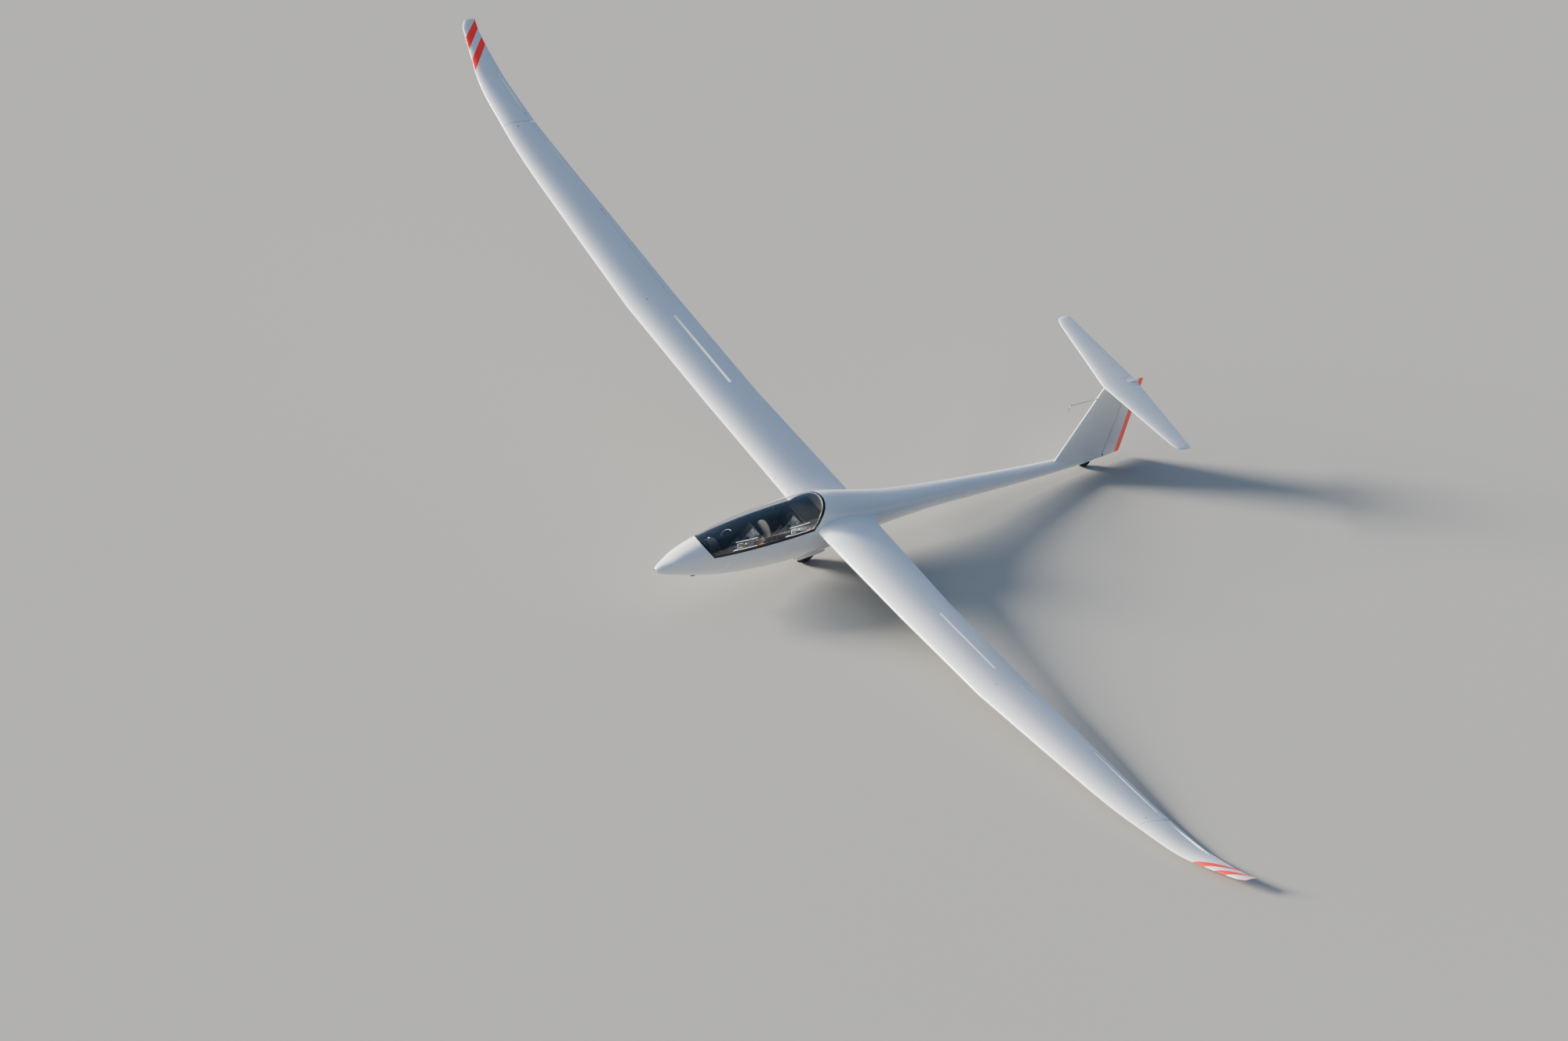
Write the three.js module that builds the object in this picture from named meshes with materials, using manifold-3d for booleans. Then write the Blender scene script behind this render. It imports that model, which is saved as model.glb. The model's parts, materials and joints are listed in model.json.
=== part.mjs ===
// Two-seat sailplane with a T-tail, parked on its main wheel, tail wheel and port wing-tip skid.
// The airframe is drawn level in its own frame: +X aft from the nose tip, +Y to starboard, +Z up, in mm.
// At the end it is set down in its parked attitude, with the origin under the middle of its box.

import * as THREE from 'three';
import { mergeVertices } from 'three/addons/utils/BufferGeometryUtils.js';
import Module from 'manifold-3d';

const wasm = await Module();
wasm.setup();

// Driving dimensions

const RAD = Math.PI / 180;
const SEAT = 0.3; // gap between pieces that rest on each other
const RUN = 6; // gap around pieces that move
const HALF_SPAN = 10000;
const CLEAR = 500; // half width of a cut that runs right through the fuselage
const BELOW = -400; // a height under the whole fuselage
const ABOVE = 1000; // a height over the whole fuselage

// Fuselage cross sections: half width, top and bottom heights at each station aft of the nose
const HULL = [
  { at: 0, half: 10, top: 12, bottom: -8 },
  { at: 20, half: 33, top: 39, bottom: -30 },
  { at: 50, half: 55, top: 67, bottom: -52 },
  { at: 100, half: 81, top: 100, bottom: -78 },
  { at: 200, half: 121, top: 167, bottom: -101 },
  { at: 300, half: 158, top: 235, bottom: -119 },
  { at: 450, half: 196, top: 307, bottom: -144 },
  { at: 600, half: 225, top: 369, bottom: -172 },
  { at: 800, half: 256, top: 436, bottom: -208 },
  { at: 1000, half: 285, top: 503, bottom: -239 },
  { at: 1250, half: 311, top: 578, bottom: -264 },
  { at: 1500, half: 331, top: 642, bottom: -280 },
  { at: 1750, half: 345, top: 693, bottom: -286 },
  { at: 2000, half: 355, top: 733, bottom: -284 },
  { at: 2250, half: 360, top: 763, bottom: -274 },
  { at: 2500, half: 361, top: 781, bottom: -256 },
  { at: 2750, half: 360, top: 782, bottom: -230 },
  { at: 3000, half: 352, top: 752, bottom: -194 },
  { at: 3250, half: 337, top: 705, bottom: -146 },
  { at: 3500, half: 315, top: 656, bottom: -92 },
  { at: 3750, half: 284, top: 612, bottom: -40 },
  { at: 4000, half: 251, top: 573, bottom: 8 },
  { at: 4500, half: 208, top: 525, bottom: 72 },
  { at: 5000, half: 175, top: 496, bottom: 119 },
  { at: 6000, half: 136, top: 457, bottom: 162 },
  { at: 7000, half: 100, top: 438, bottom: 208 },
  { at: 7500, half: 84, top: 441, bottom: 243 },
  { at: 8000, half: 64, top: 452, bottom: 294 },
  { at: 8226, half: 50, top: 458, bottom: 326 },
];
const HULL_SQUARENESS = 2.15; // exponent of the section's superellipse
const HULL_POINTS = 28; // points around a section
const INNER_POINTS = 20; // points around an inner face
const HULL_END = 8226;
const SKIN = 24; // cockpit wall thickness
const COCKPIT_FRONT = 330;
const BULKHEAD = 2560; // front face of the bulkhead behind the rear seat
const SHELL_END = 2572; // joint between cockpit shell and centre fuselage
const DECK_END = 2866; // rear wall of the space under the back of the canopy
const CAVITY = { rear: 2480, bulkheadTop: 430, deck: 520, deckWall: 6 }; // end of the floor, and the deck
const CENTRE_END = 4250; // joint between centre fuselage and tail boom

// Canopy outline in side view
const SILL_FRONT = { x: 850, z: 229 };
const SILL_REAR = { x: 2570, z: 440 };
const BOW_TOP = { x: 640, z: 423 }; // runs past the hull's top line
const ARCH_TOP = { x: 2840, z: 797 };
const CANOPY_REACH = { front: 500, rear: 3000 }; // stations that hold the whole canopy
const CANOPY_GAP = 6;
const FRAME_WIDTH = 34;
const FRAME_DEPTH = 20;
const GLASS_THICKNESS = 7;
const CANOPY_HINGE = {
  stations: [1500, 2300], inwards: 6, below: 50, arm: 12, armInwards: 12, armOutwards: 3, armTop: 62,
  barrel: 10, pin: 4, pinReach: 22, slot: 2, slotHalf: 60, slotTop: 80, play: 0.5,
};

// Wing stations: leading edge, trailing edge and height of the leading edge
const WING = [
  { y: 400, nose: 2640, tail: 3732, rise: 409, thick: 0.155 },
  { y: 2500, nose: 2518, tail: 3504, rise: 606, thick: 0.152 },
  { y: 4505, nose: 2420, tail: 3372, rise: 815, thick: 0.148 },
  { y: 6000, nose: 2425, tail: 3266, rise: 1013.5, thick: 0.145 },
  { y: 8130, nose: 2512, tail: 3120, rise: 1297, thick: 0.14 },
  { y: 9150, nose: 2667, tail: 3120, rise: 1471, thick: 0.135 },
  { y: 9400, nose: 2735, tail: 3113, rise: 1547, thick: 0.13 },
  { y: 9600, nose: 2785, tail: 3108, rise: 1612, thick: 0.125 },
  { y: 9800, nose: 2835, tail: 3112, rise: 1683, thick: 0.12 },
  { y: 9930, nose: 2876, tail: 3132, rise: 1732, thick: 0.1 },
  { y: HALF_SPAN, nose: 2945, tail: 3147, rise: 1756, thick: 0.05 },
];
const WING_INCIDENCE = 1.5 * RAD;
const WING_CAMBER = 0.028;
const CREST = 0.42; // where along the chord a camber line is highest
const WING_ROOT = 400;
const WING_SEAM = 8130; // joint between inner and outer panel
const FOIL_POINTS = 11; // points along each surface of a wing section
const EDGE = 1.6; // half thickness of a trailing edge
const FAIRING = { width: 200, lead: 60, trail: 300, thick: 0.11 }; // how the wing's root swells inwards

// Ailerons: hinge line from the inner to the outer end of each
const AILERON = {
  inner: { from: { y: 4516, x: 3250 }, to: { y: 8116, x: 3036 }, lugs: [4700, 6300, 7950], clear: [RUN, 60] },
  outer: { from: { y: 8142, x: 3036 }, to: { y: 9140, x: 3055 }, lugs: [8300, 9000], clear: [60, RUN] },
};
const SURFACE_ROD = 3.2;
const LUG = {
  most: 11, inside: 1.5, room: 6, side: 5, web: 1.7, bore: 3.85, thick: 6, rudderThick: 8, seat: 14,
};
const CUT = { aft: 400, up: 200 }; // reach of the cuts behind a hinge line

// Airbrakes in the upper side of the inner wing panels
const BRAKE = {
  from: 2700, to: 4100, chordwise: 0.6, lean: -0.11, deep: 84, cap: 46, capThick: 5, capEnd: 4, sunk: 0.5,
  wellHalf: 15, wellTop: 60, guide: 8, upper: [-9, -3], lower: [3, 9], lowerShort: 6,
};

// Skid under the bend of each wing tip
const SKID = { y: 9290, x: 2950, long: 190, thick: 22, deep: 62, frontSlope: 35, rearSlope: 15 };

// Tail
const FIN = [
  { z: 300, nose: 7300, tail: 8602, thick: 0.088 },
  { z: 441, nose: 7350, tail: 8600, thick: 0.084 },
  { z: 1100, nose: 7580, tail: 8570, thick: 0.1 },
  { z: 1773, nose: 7816, tail: 8534, thick: 0.11 },
];
const FIN_FOOT = 400; // inside the boom
const FIN_TOP = 1746;
const RUDDER_HINGE = 8270;
const RUDDER_FOOT = 338; // lower end of the rudder at its hinge
const RUDDER_HEEL = 374; // lower end of the rudder at its trailing edge
const RUDDER_LUGS = [620, 1500];
const STAB = [
  { y: 0, nose: 7785, tail: 8398, thick: 0.105 },
  { y: 1400, nose: 8010, tail: 8300, thick: 0.105 },
  { y: 1500, nose: 8044, tail: 8293, thick: 0.1 },
  { y: 1545, nose: 8082, tail: 8289, thick: 0.08 },
  { y: 1565, nose: 8140, tail: 8285, thick: 0.04 },
];
const STAB_HEIGHT = 1752;
const ELEVATOR_HINGE = 8222;
const ELEVATOR_FROM = 96;
const ELEVATOR_TO = 1496;
const ELEVATOR_LUGS = [380, 1220];
const STAB_ROOM = { bottom: 1600, top: 1900, rear: 8500 }; // box that holds the tailplane's rear edge

// Probe that stands out in front of the fin, with its end turned down
const PROBE = {
  root: [7745, 1536], reach: 7237, level: 1513, drop: 1400, bend: 30, radius: 4.5, play: 0.7, socket: 40,
};

// Wheels: axle place, tyre radius and width
const MAIN = { x: 2900, z: -290, radius: 190, width: 146, rim: 92, axle: 12 };
const NOSE = { x: 812, z: -193, radius: 100, width: 52, rim: 52, axle: 8 };
const TAIL = { x: 7980, z: 305, radius: 105, width: 60, rim: 56, axle: 8 };
const MAIN_WELL = { from: 2640, to: 3170, half: 112, top: 50 };
const NOSE_WELL = { from: 690, to: 934, half: 38, top: -82 };
const TAIL_WELL = { from: 7858, to: 8102, half: 37, top: 424, bottom: 100 };
const NOSE_BOX = { from: 650, to: 970, wall: 14 }; // housing over the nose wheel in the cockpit floor
const TYRE = { bead: 0.62, flank: 0.84, lip: 6, belly: 4 }; // shares of the half width, and mm
const HUB = { play: 0.6, boss: 12, web: 14, webHalf: 9, flange: 12, flangeTop: 9 };

// Main gear: cross tube at the top of the well, two arms down to the axle, two spring struts
const FORK = {
  top: [2716, 0], arm: 84, plate: 9, cross: 16, strutTop: [3120, 6], strutCross: 12, strut: 9, strutOut: 12,
  strutFoot: [20, 30], footBoss: 14, axleBoss: 19, axleReach: 20,
};
const TOW_HOOKS = { nose: 430, centre: 2590, half: 9, mouth: 22, top: 40 };

// Seats: side profile of the pan's upper face, from the thighs back to the shoulders
const FRONT_SEAT = { half: 215, knee: [1060, -60], hip: [1450, -190], shoulder: [1800, 330] };
const REAR_SEAT = { half: 225, knee: [1960, 0], hip: [2300, -130], shoulder: [2535, 400] };
const SEAT_STEPS = 20; // steps along a seat's profile, which every stretch shares
const PAN = { thick: 10, side: 12 };
const CUSHION = { from: 0.25, to: 0.85, thick: 38, inset: 14 };
const HEADREST = { from: 0.9, to: 1, thick: 58, half: 92 };
const STICK = { behindKnee: 118, lean: 22, foot: -420, bend: 60, top: 165, tube: 10, grip: 17, gripTop: 14 };
const STICK_HOLE = { from: 70, to: 172, half: 34, top: 60 };

// Cockpit fittings: instrument panels from ahead, side consoles and pedals
const FRONT_PANEL = { x: 990, thick: 32, half: 190, shoulder: 170, crown: 330, foot: 62 };
const HOOD = { x: 860, half: 150, shoulder: 200, crown: 325, from: 150 };
const REAR_PANEL = { x: 1900, thick: 30, half: 175, shoulder: 300, crown: 470, foot: 50 };
const CONSOLE = { from: 1120, to: 2470, inner: 232, outer: 420, top: 118, shelf: 30, skirt: 12, bottom: 60 };
const PEDALS = {
  x: 640, out: 78, tube: 9, tubeHalf: 130, height: -110, post: 120, padHalf: 42, padFoot: 10, padTop: 96,
};

// Materials

const finish = (color, roughness, metalness = 0, extra = {}) =>
  new THREE.MeshStandardMaterial({ color, roughness, metalness, ...extra });
const gelcoat = finish(0xf2f3f1, 0.18);
const frameBlack = finish(0x1a1b1d, 0.45);
const clearGlass = finish(0xdfe8ea, 0.05, 0, { transparent: true, opacity: 0.25 });
const rubber = finish(0x191919, 0.85);
const alloy = finish(0xb4b7ba, 0.35, 0.9);
const steel = finish(0x7d8083, 0.4, 0.9);
const interior = finish(0x55585a, 0.7);
const cloth = finish(0x3a4450, 0.95);
const panelBlack = finish(0x121314, 0.6);
const skidBlack = finish(0x26272a, 0.7);

// Solids

function solidOf(geometry) {
  const bare = geometry.clone();
  for (const name of Object.keys(bare.attributes)) {
    if (name !== 'position') bare.deleteAttribute(name);
  }
  const merged = mergeVertices(bare, 1e-3);
  const mesh = new wasm.Mesh({
    numProp: 3,
    vertProperties: new Float32Array(merged.attributes.position.array),
    triVerts: new Uint32Array(merged.index.array),
  });
  mesh.merge();
  return new wasm.Manifold(mesh);
}

function geometryOf(solid) {
  const mesh = solid.getMesh();
  const geometry = new THREE.BufferGeometry();
  geometry.setAttribute('position', new THREE.BufferAttribute(mesh.vertProperties.slice(), 3));
  geometry.setIndex(new THREE.BufferAttribute(mesh.triVerts.slice(), 1));
  return geometry;
}

// Skin over rings of equally many points, closed at both ends by a flat cap
function skinOver(rings) {
  const count = rings[0].length;
  const points = rings.flat();
  const faces = [];
  for (let r = 0; r + 1 < rings.length; r += 1) {
    for (let i = 0; i < count; i += 1) {
      const j = (i + 1) % count;
      const a = r * count + i;
      const b = r * count + j;
      const c = a + count;
      const d = b + count;
      faces.push(a, b, d, a, d, c);
    }
  }
  for (const [ring, first] of [[rings[0], true], [rings.at(-1), false]]) {
    const centre = ring.reduce((sum, p) => sum.add(p), new THREE.Vector3()).divideScalar(count);
    const hub = points.push(centre) - 1;
    const start = first ? 0 : (rings.length - 1) * count;
    for (let i = 0; i < count; i += 1) {
      const j = (i + 1) % count;
      if (first) faces.push(start + j, start + i, hub);
      else faces.push(start + i, start + j, hub);
    }
  }
  const geometry = new THREE.BufferGeometry().setFromPoints(points);
  geometry.setIndex(faces);
  if (signedVolume(geometry) < 0) {
    const flipped = [];
    for (let i = 0; i < faces.length; i += 3) flipped.push(faces[i], faces[i + 2], faces[i + 1]);
    geometry.setIndex(flipped);
  }
  return geometry;
}

function signedVolume(geometry) {
  const position = geometry.attributes.position;
  const index = geometry.index.array;
  const corner = [new THREE.Vector3(), new THREE.Vector3(), new THREE.Vector3()];
  let sum = 0;
  for (let i = 0; i < index.length; i += 3) {
    corner.forEach((v, k) => v.fromBufferAttribute(position, index[i + k]));
    sum += corner[0].dot(corner[1].clone().cross(corner[2]));
  }
  return sum / 6;
}

// Box between two corners
function block(low, high) {
  const size = high.map((v, i) => v - low[i]);
  const box = new THREE.BoxGeometry(...size);
  box.translate(...low.map((v, i) => v + size[i] / 2));
  return solidOf(box);
}

// Round bar between two points, which may taper
function bar(from, to, radius, endRadius = radius, sides = 8) {
  const start = new THREE.Vector3(...from);
  const end = new THREE.Vector3(...to);
  const rod = new THREE.CylinderGeometry(endRadius, radius, start.distanceTo(end), sides);
  rod.applyQuaternion(new THREE.Quaternion().setFromUnitVectors(
    new THREE.Vector3(0, 1, 0), end.clone().sub(start).normalize()));
  const middle = start.add(end).multiplyScalar(0.5);
  rod.translate(middle.x, middle.y, middle.z);
  return solidOf(rod);
}

// Prism with an outline in side view [x, z], from y = low to y = high
function sidePrism(outline, low, high) {
  const shape = new THREE.Shape(outline.map(([x, z]) => new THREE.Vector2(x, z)));
  const prism = new THREE.ExtrudeGeometry(shape, { depth: high - low, bevelEnabled: false });
  prism.rotateX(Math.PI / 2);
  prism.translate(0, high, 0);
  return solidOf(prism);
}

const union = (...solids) => solids.reduce((sum, next) => sum.add(next));
const mirrored = (solid) => solid.mirror([0, 1, 0]);

// Value of a table's column at a place along its key, in straight steps
function along(table, key, place, column) {
  const last = table.length - 1;
  let i = 0;
  while (i < last - 1 && place > table[i + 1][key]) i += 1;
  const low = table[i];
  const high = table[i + 1];
  const share = (place - low[key]) / (high[key] - low[key]);
  return low[column] + share * (high[column] - low[column]);
}

// Fuselage

function hullSection(station, inset, points) {
  const half = along(HULL, 'at', station, 'half') - inset;
  const top = along(HULL, 'at', station, 'top') - inset;
  const bottom = along(HULL, 'at', station, 'bottom') + inset;
  const middle = (top + bottom) / 2;
  const rise = (top - bottom) / 2;
  const power = 2 / HULL_SQUARENESS;
  const ring = [];
  for (let i = 0; i < points; i += 1) {
    const angle = (i / points) * 2 * Math.PI;
    const across = Math.sign(Math.cos(angle)) * Math.abs(Math.cos(angle)) ** power;
    const up = Math.sign(Math.sin(angle)) * Math.abs(Math.sin(angle)) ** power;
    ring.push(new THREE.Vector3(station, half * across, middle + rise * up));
  }
  return ring;
}

function hull(from, to, inset = 0) {
  const inside = HULL.map((row) => row.at).filter((at) => at > from + 1 && at < to - 1);
  const points = inset > 0 ? INNER_POINTS : HULL_POINTS;
  return solidOf(skinOver([from, ...inside, to].map((at) => hullSection(at, inset, points))));
}

// Half width of the fuselage at a station and a height
function hullHalf(station, height) {
  const top = along(HULL, 'at', station, 'top');
  const bottom = along(HULL, 'at', station, 'bottom');
  const level = Math.abs((2 * height - top - bottom) / (top - bottom));
  return along(HULL, 'at', station, 'half') * (1 - level ** HULL_SQUARENESS) ** (1 / HULL_SQUARENESS);
}

function canopyOutline(shrink) {
  // each side of the outline moves inwards along its own normal
  const corners = [SILL_FRONT, SILL_REAR, ARCH_TOP, { x: 2700, z: ABOVE }, { x: 900, z: ABOVE }, BOW_TOP];
  return corners.map((corner, i) => {
    const before = corners[(i + corners.length - 1) % corners.length];
    const after = corners[(i + 1) % corners.length];
    const one = new THREE.Vector2(corner.x - before.x, corner.z - before.z).normalize();
    const two = new THREE.Vector2(after.x - corner.x, after.z - corner.z).normalize();
    const normal = new THREE.Vector2(-one.y - two.y, one.x + two.x).normalize();
    const stretch = shrink / (normal.x * -one.y + normal.y * one.x);
    return [corner.x + normal.x * stretch, corner.z + normal.y * stretch];
  });
}

const outerHull = hull(0, HULL_END);
const innerHull = hull(COCKPIT_FRONT, DECK_END, SKIN);
const canopyOpening = sidePrism(canopyOutline(0), -CLEAR, CLEAR);

// Canopy hinges: arms on the canopy's frame turn on pins in slots of the starboard sill
const sillSlope = (SILL_REAR.z - SILL_FRONT.z) / (SILL_REAR.x - SILL_FRONT.x);
const hingePoints = CANOPY_HINGE.stations.map((x) => {
  const sill = SILL_FRONT.z + (x - SILL_FRONT.x) * sillSlope;
  return new THREE.Vector3(x, hullHalf(x, sill) - CANOPY_HINGE.inwards, sill - CANOPY_HINGE.below);
});
const canopyAxis = hingePoints[1].clone().sub(hingePoints[0]).normalize();
const canopyOut = new THREE.Vector3(0, 1, 0).addScaledVector(canopyAxis, -canopyAxis.y).normalize();
const hingeFrames = hingePoints.map((point) => new THREE.Matrix4()
  .makeBasis(canopyAxis, canopyOut, canopyAxis.clone().cross(canopyOut)).setPosition(point));

// Box in a frame of its own
function framedBox(frame, low, high) {
  const size = high.map((v, i) => v - low[i]);
  const box = new THREE.BoxGeometry(...size);
  box.translate(...low.map((v, i) => v + size[i] / 2));
  box.applyMatrix4(frame);
  return solidOf(box);
}

function hingeBar(frame, half, radius) {
  const rod = new THREE.CylinderGeometry(radius, radius, 2 * half, 12);
  rod.rotateZ(Math.PI / 2);
  rod.applyMatrix4(frame);
  return solidOf(rod);
}

const hingeSlots = hingeFrames.map((frame) => {
  const half = CANOPY_HINGE.arm / 2 + CANOPY_HINGE.slot;
  const floor = -CANOPY_HINGE.barrel - CANOPY_HINGE.slot;
  const { slotHalf, slotTop } = CANOPY_HINGE;
  return framedBox(frame, [-half, -slotHalf, floor], [half, slotHalf, slotTop])
    .add(hingeBar(frame, CANOPY_HINGE.pinReach + 1, CANOPY_HINGE.pin + CANOPY_HINGE.play));
});
const hingeArms = hingeFrames.map((frame) => {
  const half = CANOPY_HINGE.arm / 2;
  const { armInwards, armOutwards, armTop } = CANOPY_HINGE;
  return framedBox(frame, [-half, -armInwards, 0], [half, armOutwards, armTop])
    .add(hingeBar(frame, half, CANOPY_HINGE.barrel))
    .add(hingeBar(frame, CANOPY_HINGE.pinReach, CANOPY_HINGE.pin));
});

const cavityOutline = (gap) => [
  [COCKPIT_FRONT, BELOW], [CAVITY.rear - gap, BELOW], [BULKHEAD - gap, CAVITY.bulkheadTop + gap],
  [DECK_END - CAVITY.deckWall, CAVITY.deck + gap], [DECK_END - CAVITY.deckWall, ABOVE],
  [COCKPIT_FRONT, ABOVE],
];
const cavityFloor = sidePrism(cavityOutline(0), -CLEAR, CLEAR);
const noseBox = (gap) => block(
  [NOSE_BOX.from - gap, -NOSE_WELL.half - NOSE_BOX.wall - gap, BELOW],
  [NOSE_BOX.to + gap, NOSE_WELL.half + NOSE_BOX.wall + gap, NOSE_WELL.top + NOSE_BOX.wall + gap]);
const cavity = innerHull.intersect(cavityFloor).subtract(noseBox(0));
const wells = union(...[MAIN_WELL, NOSE_WELL, TAIL_WELL].map((well) => (
  block([well.from, -well.half, well.bottom ?? BELOW], [well.to, well.half, well.top]))));

const NOSE_CAP = 36;
const INTAKE = { front: -5, depth: 26, z: 2, radius: 13 };
const noseIntake = hull(0, NOSE_CAP)
  .subtract(bar([INTAKE.front, 0, INTAKE.z], [INTAKE.depth, 0, INTAKE.z], INTAKE.radius));
const cockpitShell = hull(NOSE_CAP + SEAT, SHELL_END)
  .subtract(cavity).subtract(canopyOpening).subtract(wells).subtract(union(...hingeSlots));

// Wing sections

// Half thickness and camber line at a share x of the chord, by the usual four-digit wing formula
function foilHeights(x, thick, camber) {
  const round = 0.2969 * Math.sqrt(x) - 0.126 * x - 0.3516 * x ** 2 + 0.2843 * x ** 3 - 0.1036 * x ** 4;
  const line = x < CREST
    ? (camber / CREST ** 2) * (2 * CREST * x - x * x)
    : (camber / (1 - CREST) ** 2) * (1 - 2 * CREST + 2 * CREST * x - x * x);
  return { half: 5 * thick * round, line };
}

// Section of a wing, with its chord along x turned nose up by the incidence
function foilSection(station, place, swell = 0) {
  const chord = station.tail - station.nose;
  const ring = [];
  for (let i = 0; i < FOIL_POINTS * 2; i += 1) {
    const upper = i < FOIL_POINTS;
    const step = upper ? i / (FOIL_POINTS - 0.5) : (2 * FOIL_POINTS - 1 - i) / (FOIL_POINTS - 0.5);
    const share = (1 + Math.cos(step * Math.PI)) / 2;
    const { half, line } = foilHeights(share, station.thick, station.camber);
    const reach = half * chord + EDGE * share + swell;
    const height = line * chord + (upper ? reach : -reach);
    const nose = share * chord;
    const drop = Math.sin(station.incidence);
    const run = Math.cos(station.incidence);
    ring.push(place(station.nose + nose * run + height * drop, height * run - nose * drop));
  }
  return ring;
}

function wingStation(y) {
  return {
    y,
    nose: along(WING, 'y', y, 'nose'),
    tail: along(WING, 'y', y, 'tail'),
    rise: along(WING, 'y', y, 'rise'),
    thick: along(WING, 'y', y, 'thick'),
    camber: WING_CAMBER,
    incidence: WING_INCIDENCE,
  };
}

function wingLoft(from, to) {
  const inside = WING.map((row) => row.y).filter((y) => y > from + 1 && y < to - 1);
  return solidOf(skinOver([from, ...inside, to].map((y) => {
    const station = wingStation(y);
    return foilSection(station, (x, z) => new THREE.Vector3(x, y, station.rise + z));
  })));
}

// Middle height and half thickness of the wing at a place in plan
function wingThere(y, x) {
  const station = wingStation(y);
  const chord = station.tail - station.nose;
  const share = (x - station.nose) / chord;
  const { half, line } = foilHeights(share, station.thick, WING_CAMBER);
  return {
    middle: station.rise + line * chord - share * chord * Math.sin(WING_INCIDENCE),
    half: half * chord + EDGE * share,
  };
}

// Hinged surface cut from a solid: the part behind the hinge line, rounded at its nose around the
// hinge, with slots for the lugs. The lugs stay on the fixed part.
function hingedSurface(whole, behind, ends, lugPlaces, lugThickness = LUG.thick) {
  const [from, to] = ends;
  const start = new THREE.Vector3(...from.at);
  const end = new THREE.Vector3(...to.at);
  const direction = end.clone().sub(start).normalize();
  let surface = whole.intersect(behind).add(bar(from.at, to.at, from.nose, to.nose, 12));
  const lugs = [];
  for (const share of lugPlaces) {
    const middle = start.clone().lerp(end, share);
    const nose = from.nose + share * (to.nose - from.nose);
    const reach = (width) => [-width / 2, width / 2].map((step) => {
      const p = middle.clone().addScaledVector(direction, step);
      return [p.x, p.y, p.z];
    });
    const lugRadius = Math.min(nose - LUG.inside, LUG.most);
    const slotRadius = Math.max(1.09 * nose + 2, lugRadius + LUG.room); // its flats clear the round nose
    surface = surface.subtract(bar(...reach(lugThickness + 2 * LUG.side), slotRadius));
    lugs.push({ middle, direction, radius: lugRadius, ends: reach(lugThickness), nose });
  }
  surface = surface.add(bar(
    start.clone().addScaledVector(direction, 1).toArray(),
    end.clone().addScaledVector(direction, -1).toArray(), SURFACE_ROD));
  return { surface, lugs };
}

// Lug that reaches back from a rear face to the hinge line, with a hole for the hinge rod
function lugSolid(lug, forward, length) {
  const [a, b] = lug.ends;
  const boss = bar(a, b, lug.radius, lug.radius, 10);
  const web = [a, b].map((p) => new THREE.Vector3(...p));
  const thickness = web[0].distanceTo(web[1]);
  const height = lug.radius * LUG.web;
  const plate = new THREE.BoxGeometry(length, thickness, height);
  plate.translate(-length / 2, 0, 0);
  const turn = new THREE.Matrix4();
  const yAxis = lug.direction.clone();
  const xAxis = forward.clone().negate().addScaledVector(yAxis, forward.dot(yAxis)).normalize();
  const zAxis = xAxis.clone().cross(yAxis);
  turn.makeBasis(xAxis, yAxis, zAxis).setPosition(lug.middle);
  plate.applyMatrix4(turn);
  const hole = bar(
    lug.middle.clone().addScaledVector(lug.direction, -thickness).toArray(),
    lug.middle.clone().addScaledVector(lug.direction, thickness).toArray(), LUG.bore);
  return boss.add(solidOf(plate)).subtract(hole);
}

// Block around a hinge line: aft of it, along it from its start, and up
function hingeBlock(ends, aft, across, up) {
  const start = new THREE.Vector3(...ends[0].at);
  const direction = new THREE.Vector3(...ends[1].at).sub(start).normalize();
  const aftwards = new THREE.Vector3(1, 0, 0).addScaledVector(direction, -direction.x).normalize();
  const box = new THREE.BoxGeometry(aft[1] - aft[0], across[1] - across[0], up[1] - up[0]);
  box.translate((aft[0] + aft[1]) / 2, (across[0] + across[1]) / 2, (up[0] + up[1]) / 2);
  box.applyMatrix4(new THREE.Matrix4()
    .makeBasis(aftwards, direction, aftwards.clone().cross(direction)).setPosition(start));
  return solidOf(box);
}

function aileronOf(spec) {
  const ends = [spec.from, spec.to].map(({ x, y }) => {
    const { middle, half } = wingThere(y, x);
    return { at: [x, y, middle], nose: half - 0.4 };
  });
  const long = new THREE.Vector3(...ends[0].at).distanceTo(new THREE.Vector3(...ends[1].at));
  const behind = hingeBlock(ends, [0, CUT.aft], [0, long], [-CUT.up, CUT.up]);
  const cut = hingeBlock(
    ends, [-ends[0].nose - RUN, CUT.aft], [-spec.clear[0], long + spec.clear[1]], [-CUT.up, CUT.up]);
  const span = spec.to.y - spec.from.y;
  const places = spec.lugs.map((y) => (y - spec.from.y) / span);
  return { ends, behind, cut, places };
}

// Wing panels, drawn to starboard
const FORWARD = new THREE.Vector3(-1, 0, 0);
const innerWhole = wingLoft(WING_ROOT + SEAT, WING_SEAM - SEAT / 2);
const outerWhole = wingLoft(WING_SEAM + SEAT / 2, HALF_SPAN);
const panels = {};
for (const [name, whole] of [['inner', innerWhole], ['outer', outerWhole]]) {
  const plan = aileronOf(AILERON[name]);
  const { surface, lugs } = hingedSurface(whole, plan.behind, plan.ends, plan.places);
  let panel = whole.subtract(plan.cut);
  for (const lug of lugs) panel = panel.add(lugSolid(lug, FORWARD, lug.nose + RUN + LUG.seat));
  panels[name] = { panel, aileron: surface, hinge: plan.ends };
}

// Airbrakes: two plates that rise out of a well, the lower one half as far as the upper one

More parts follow.
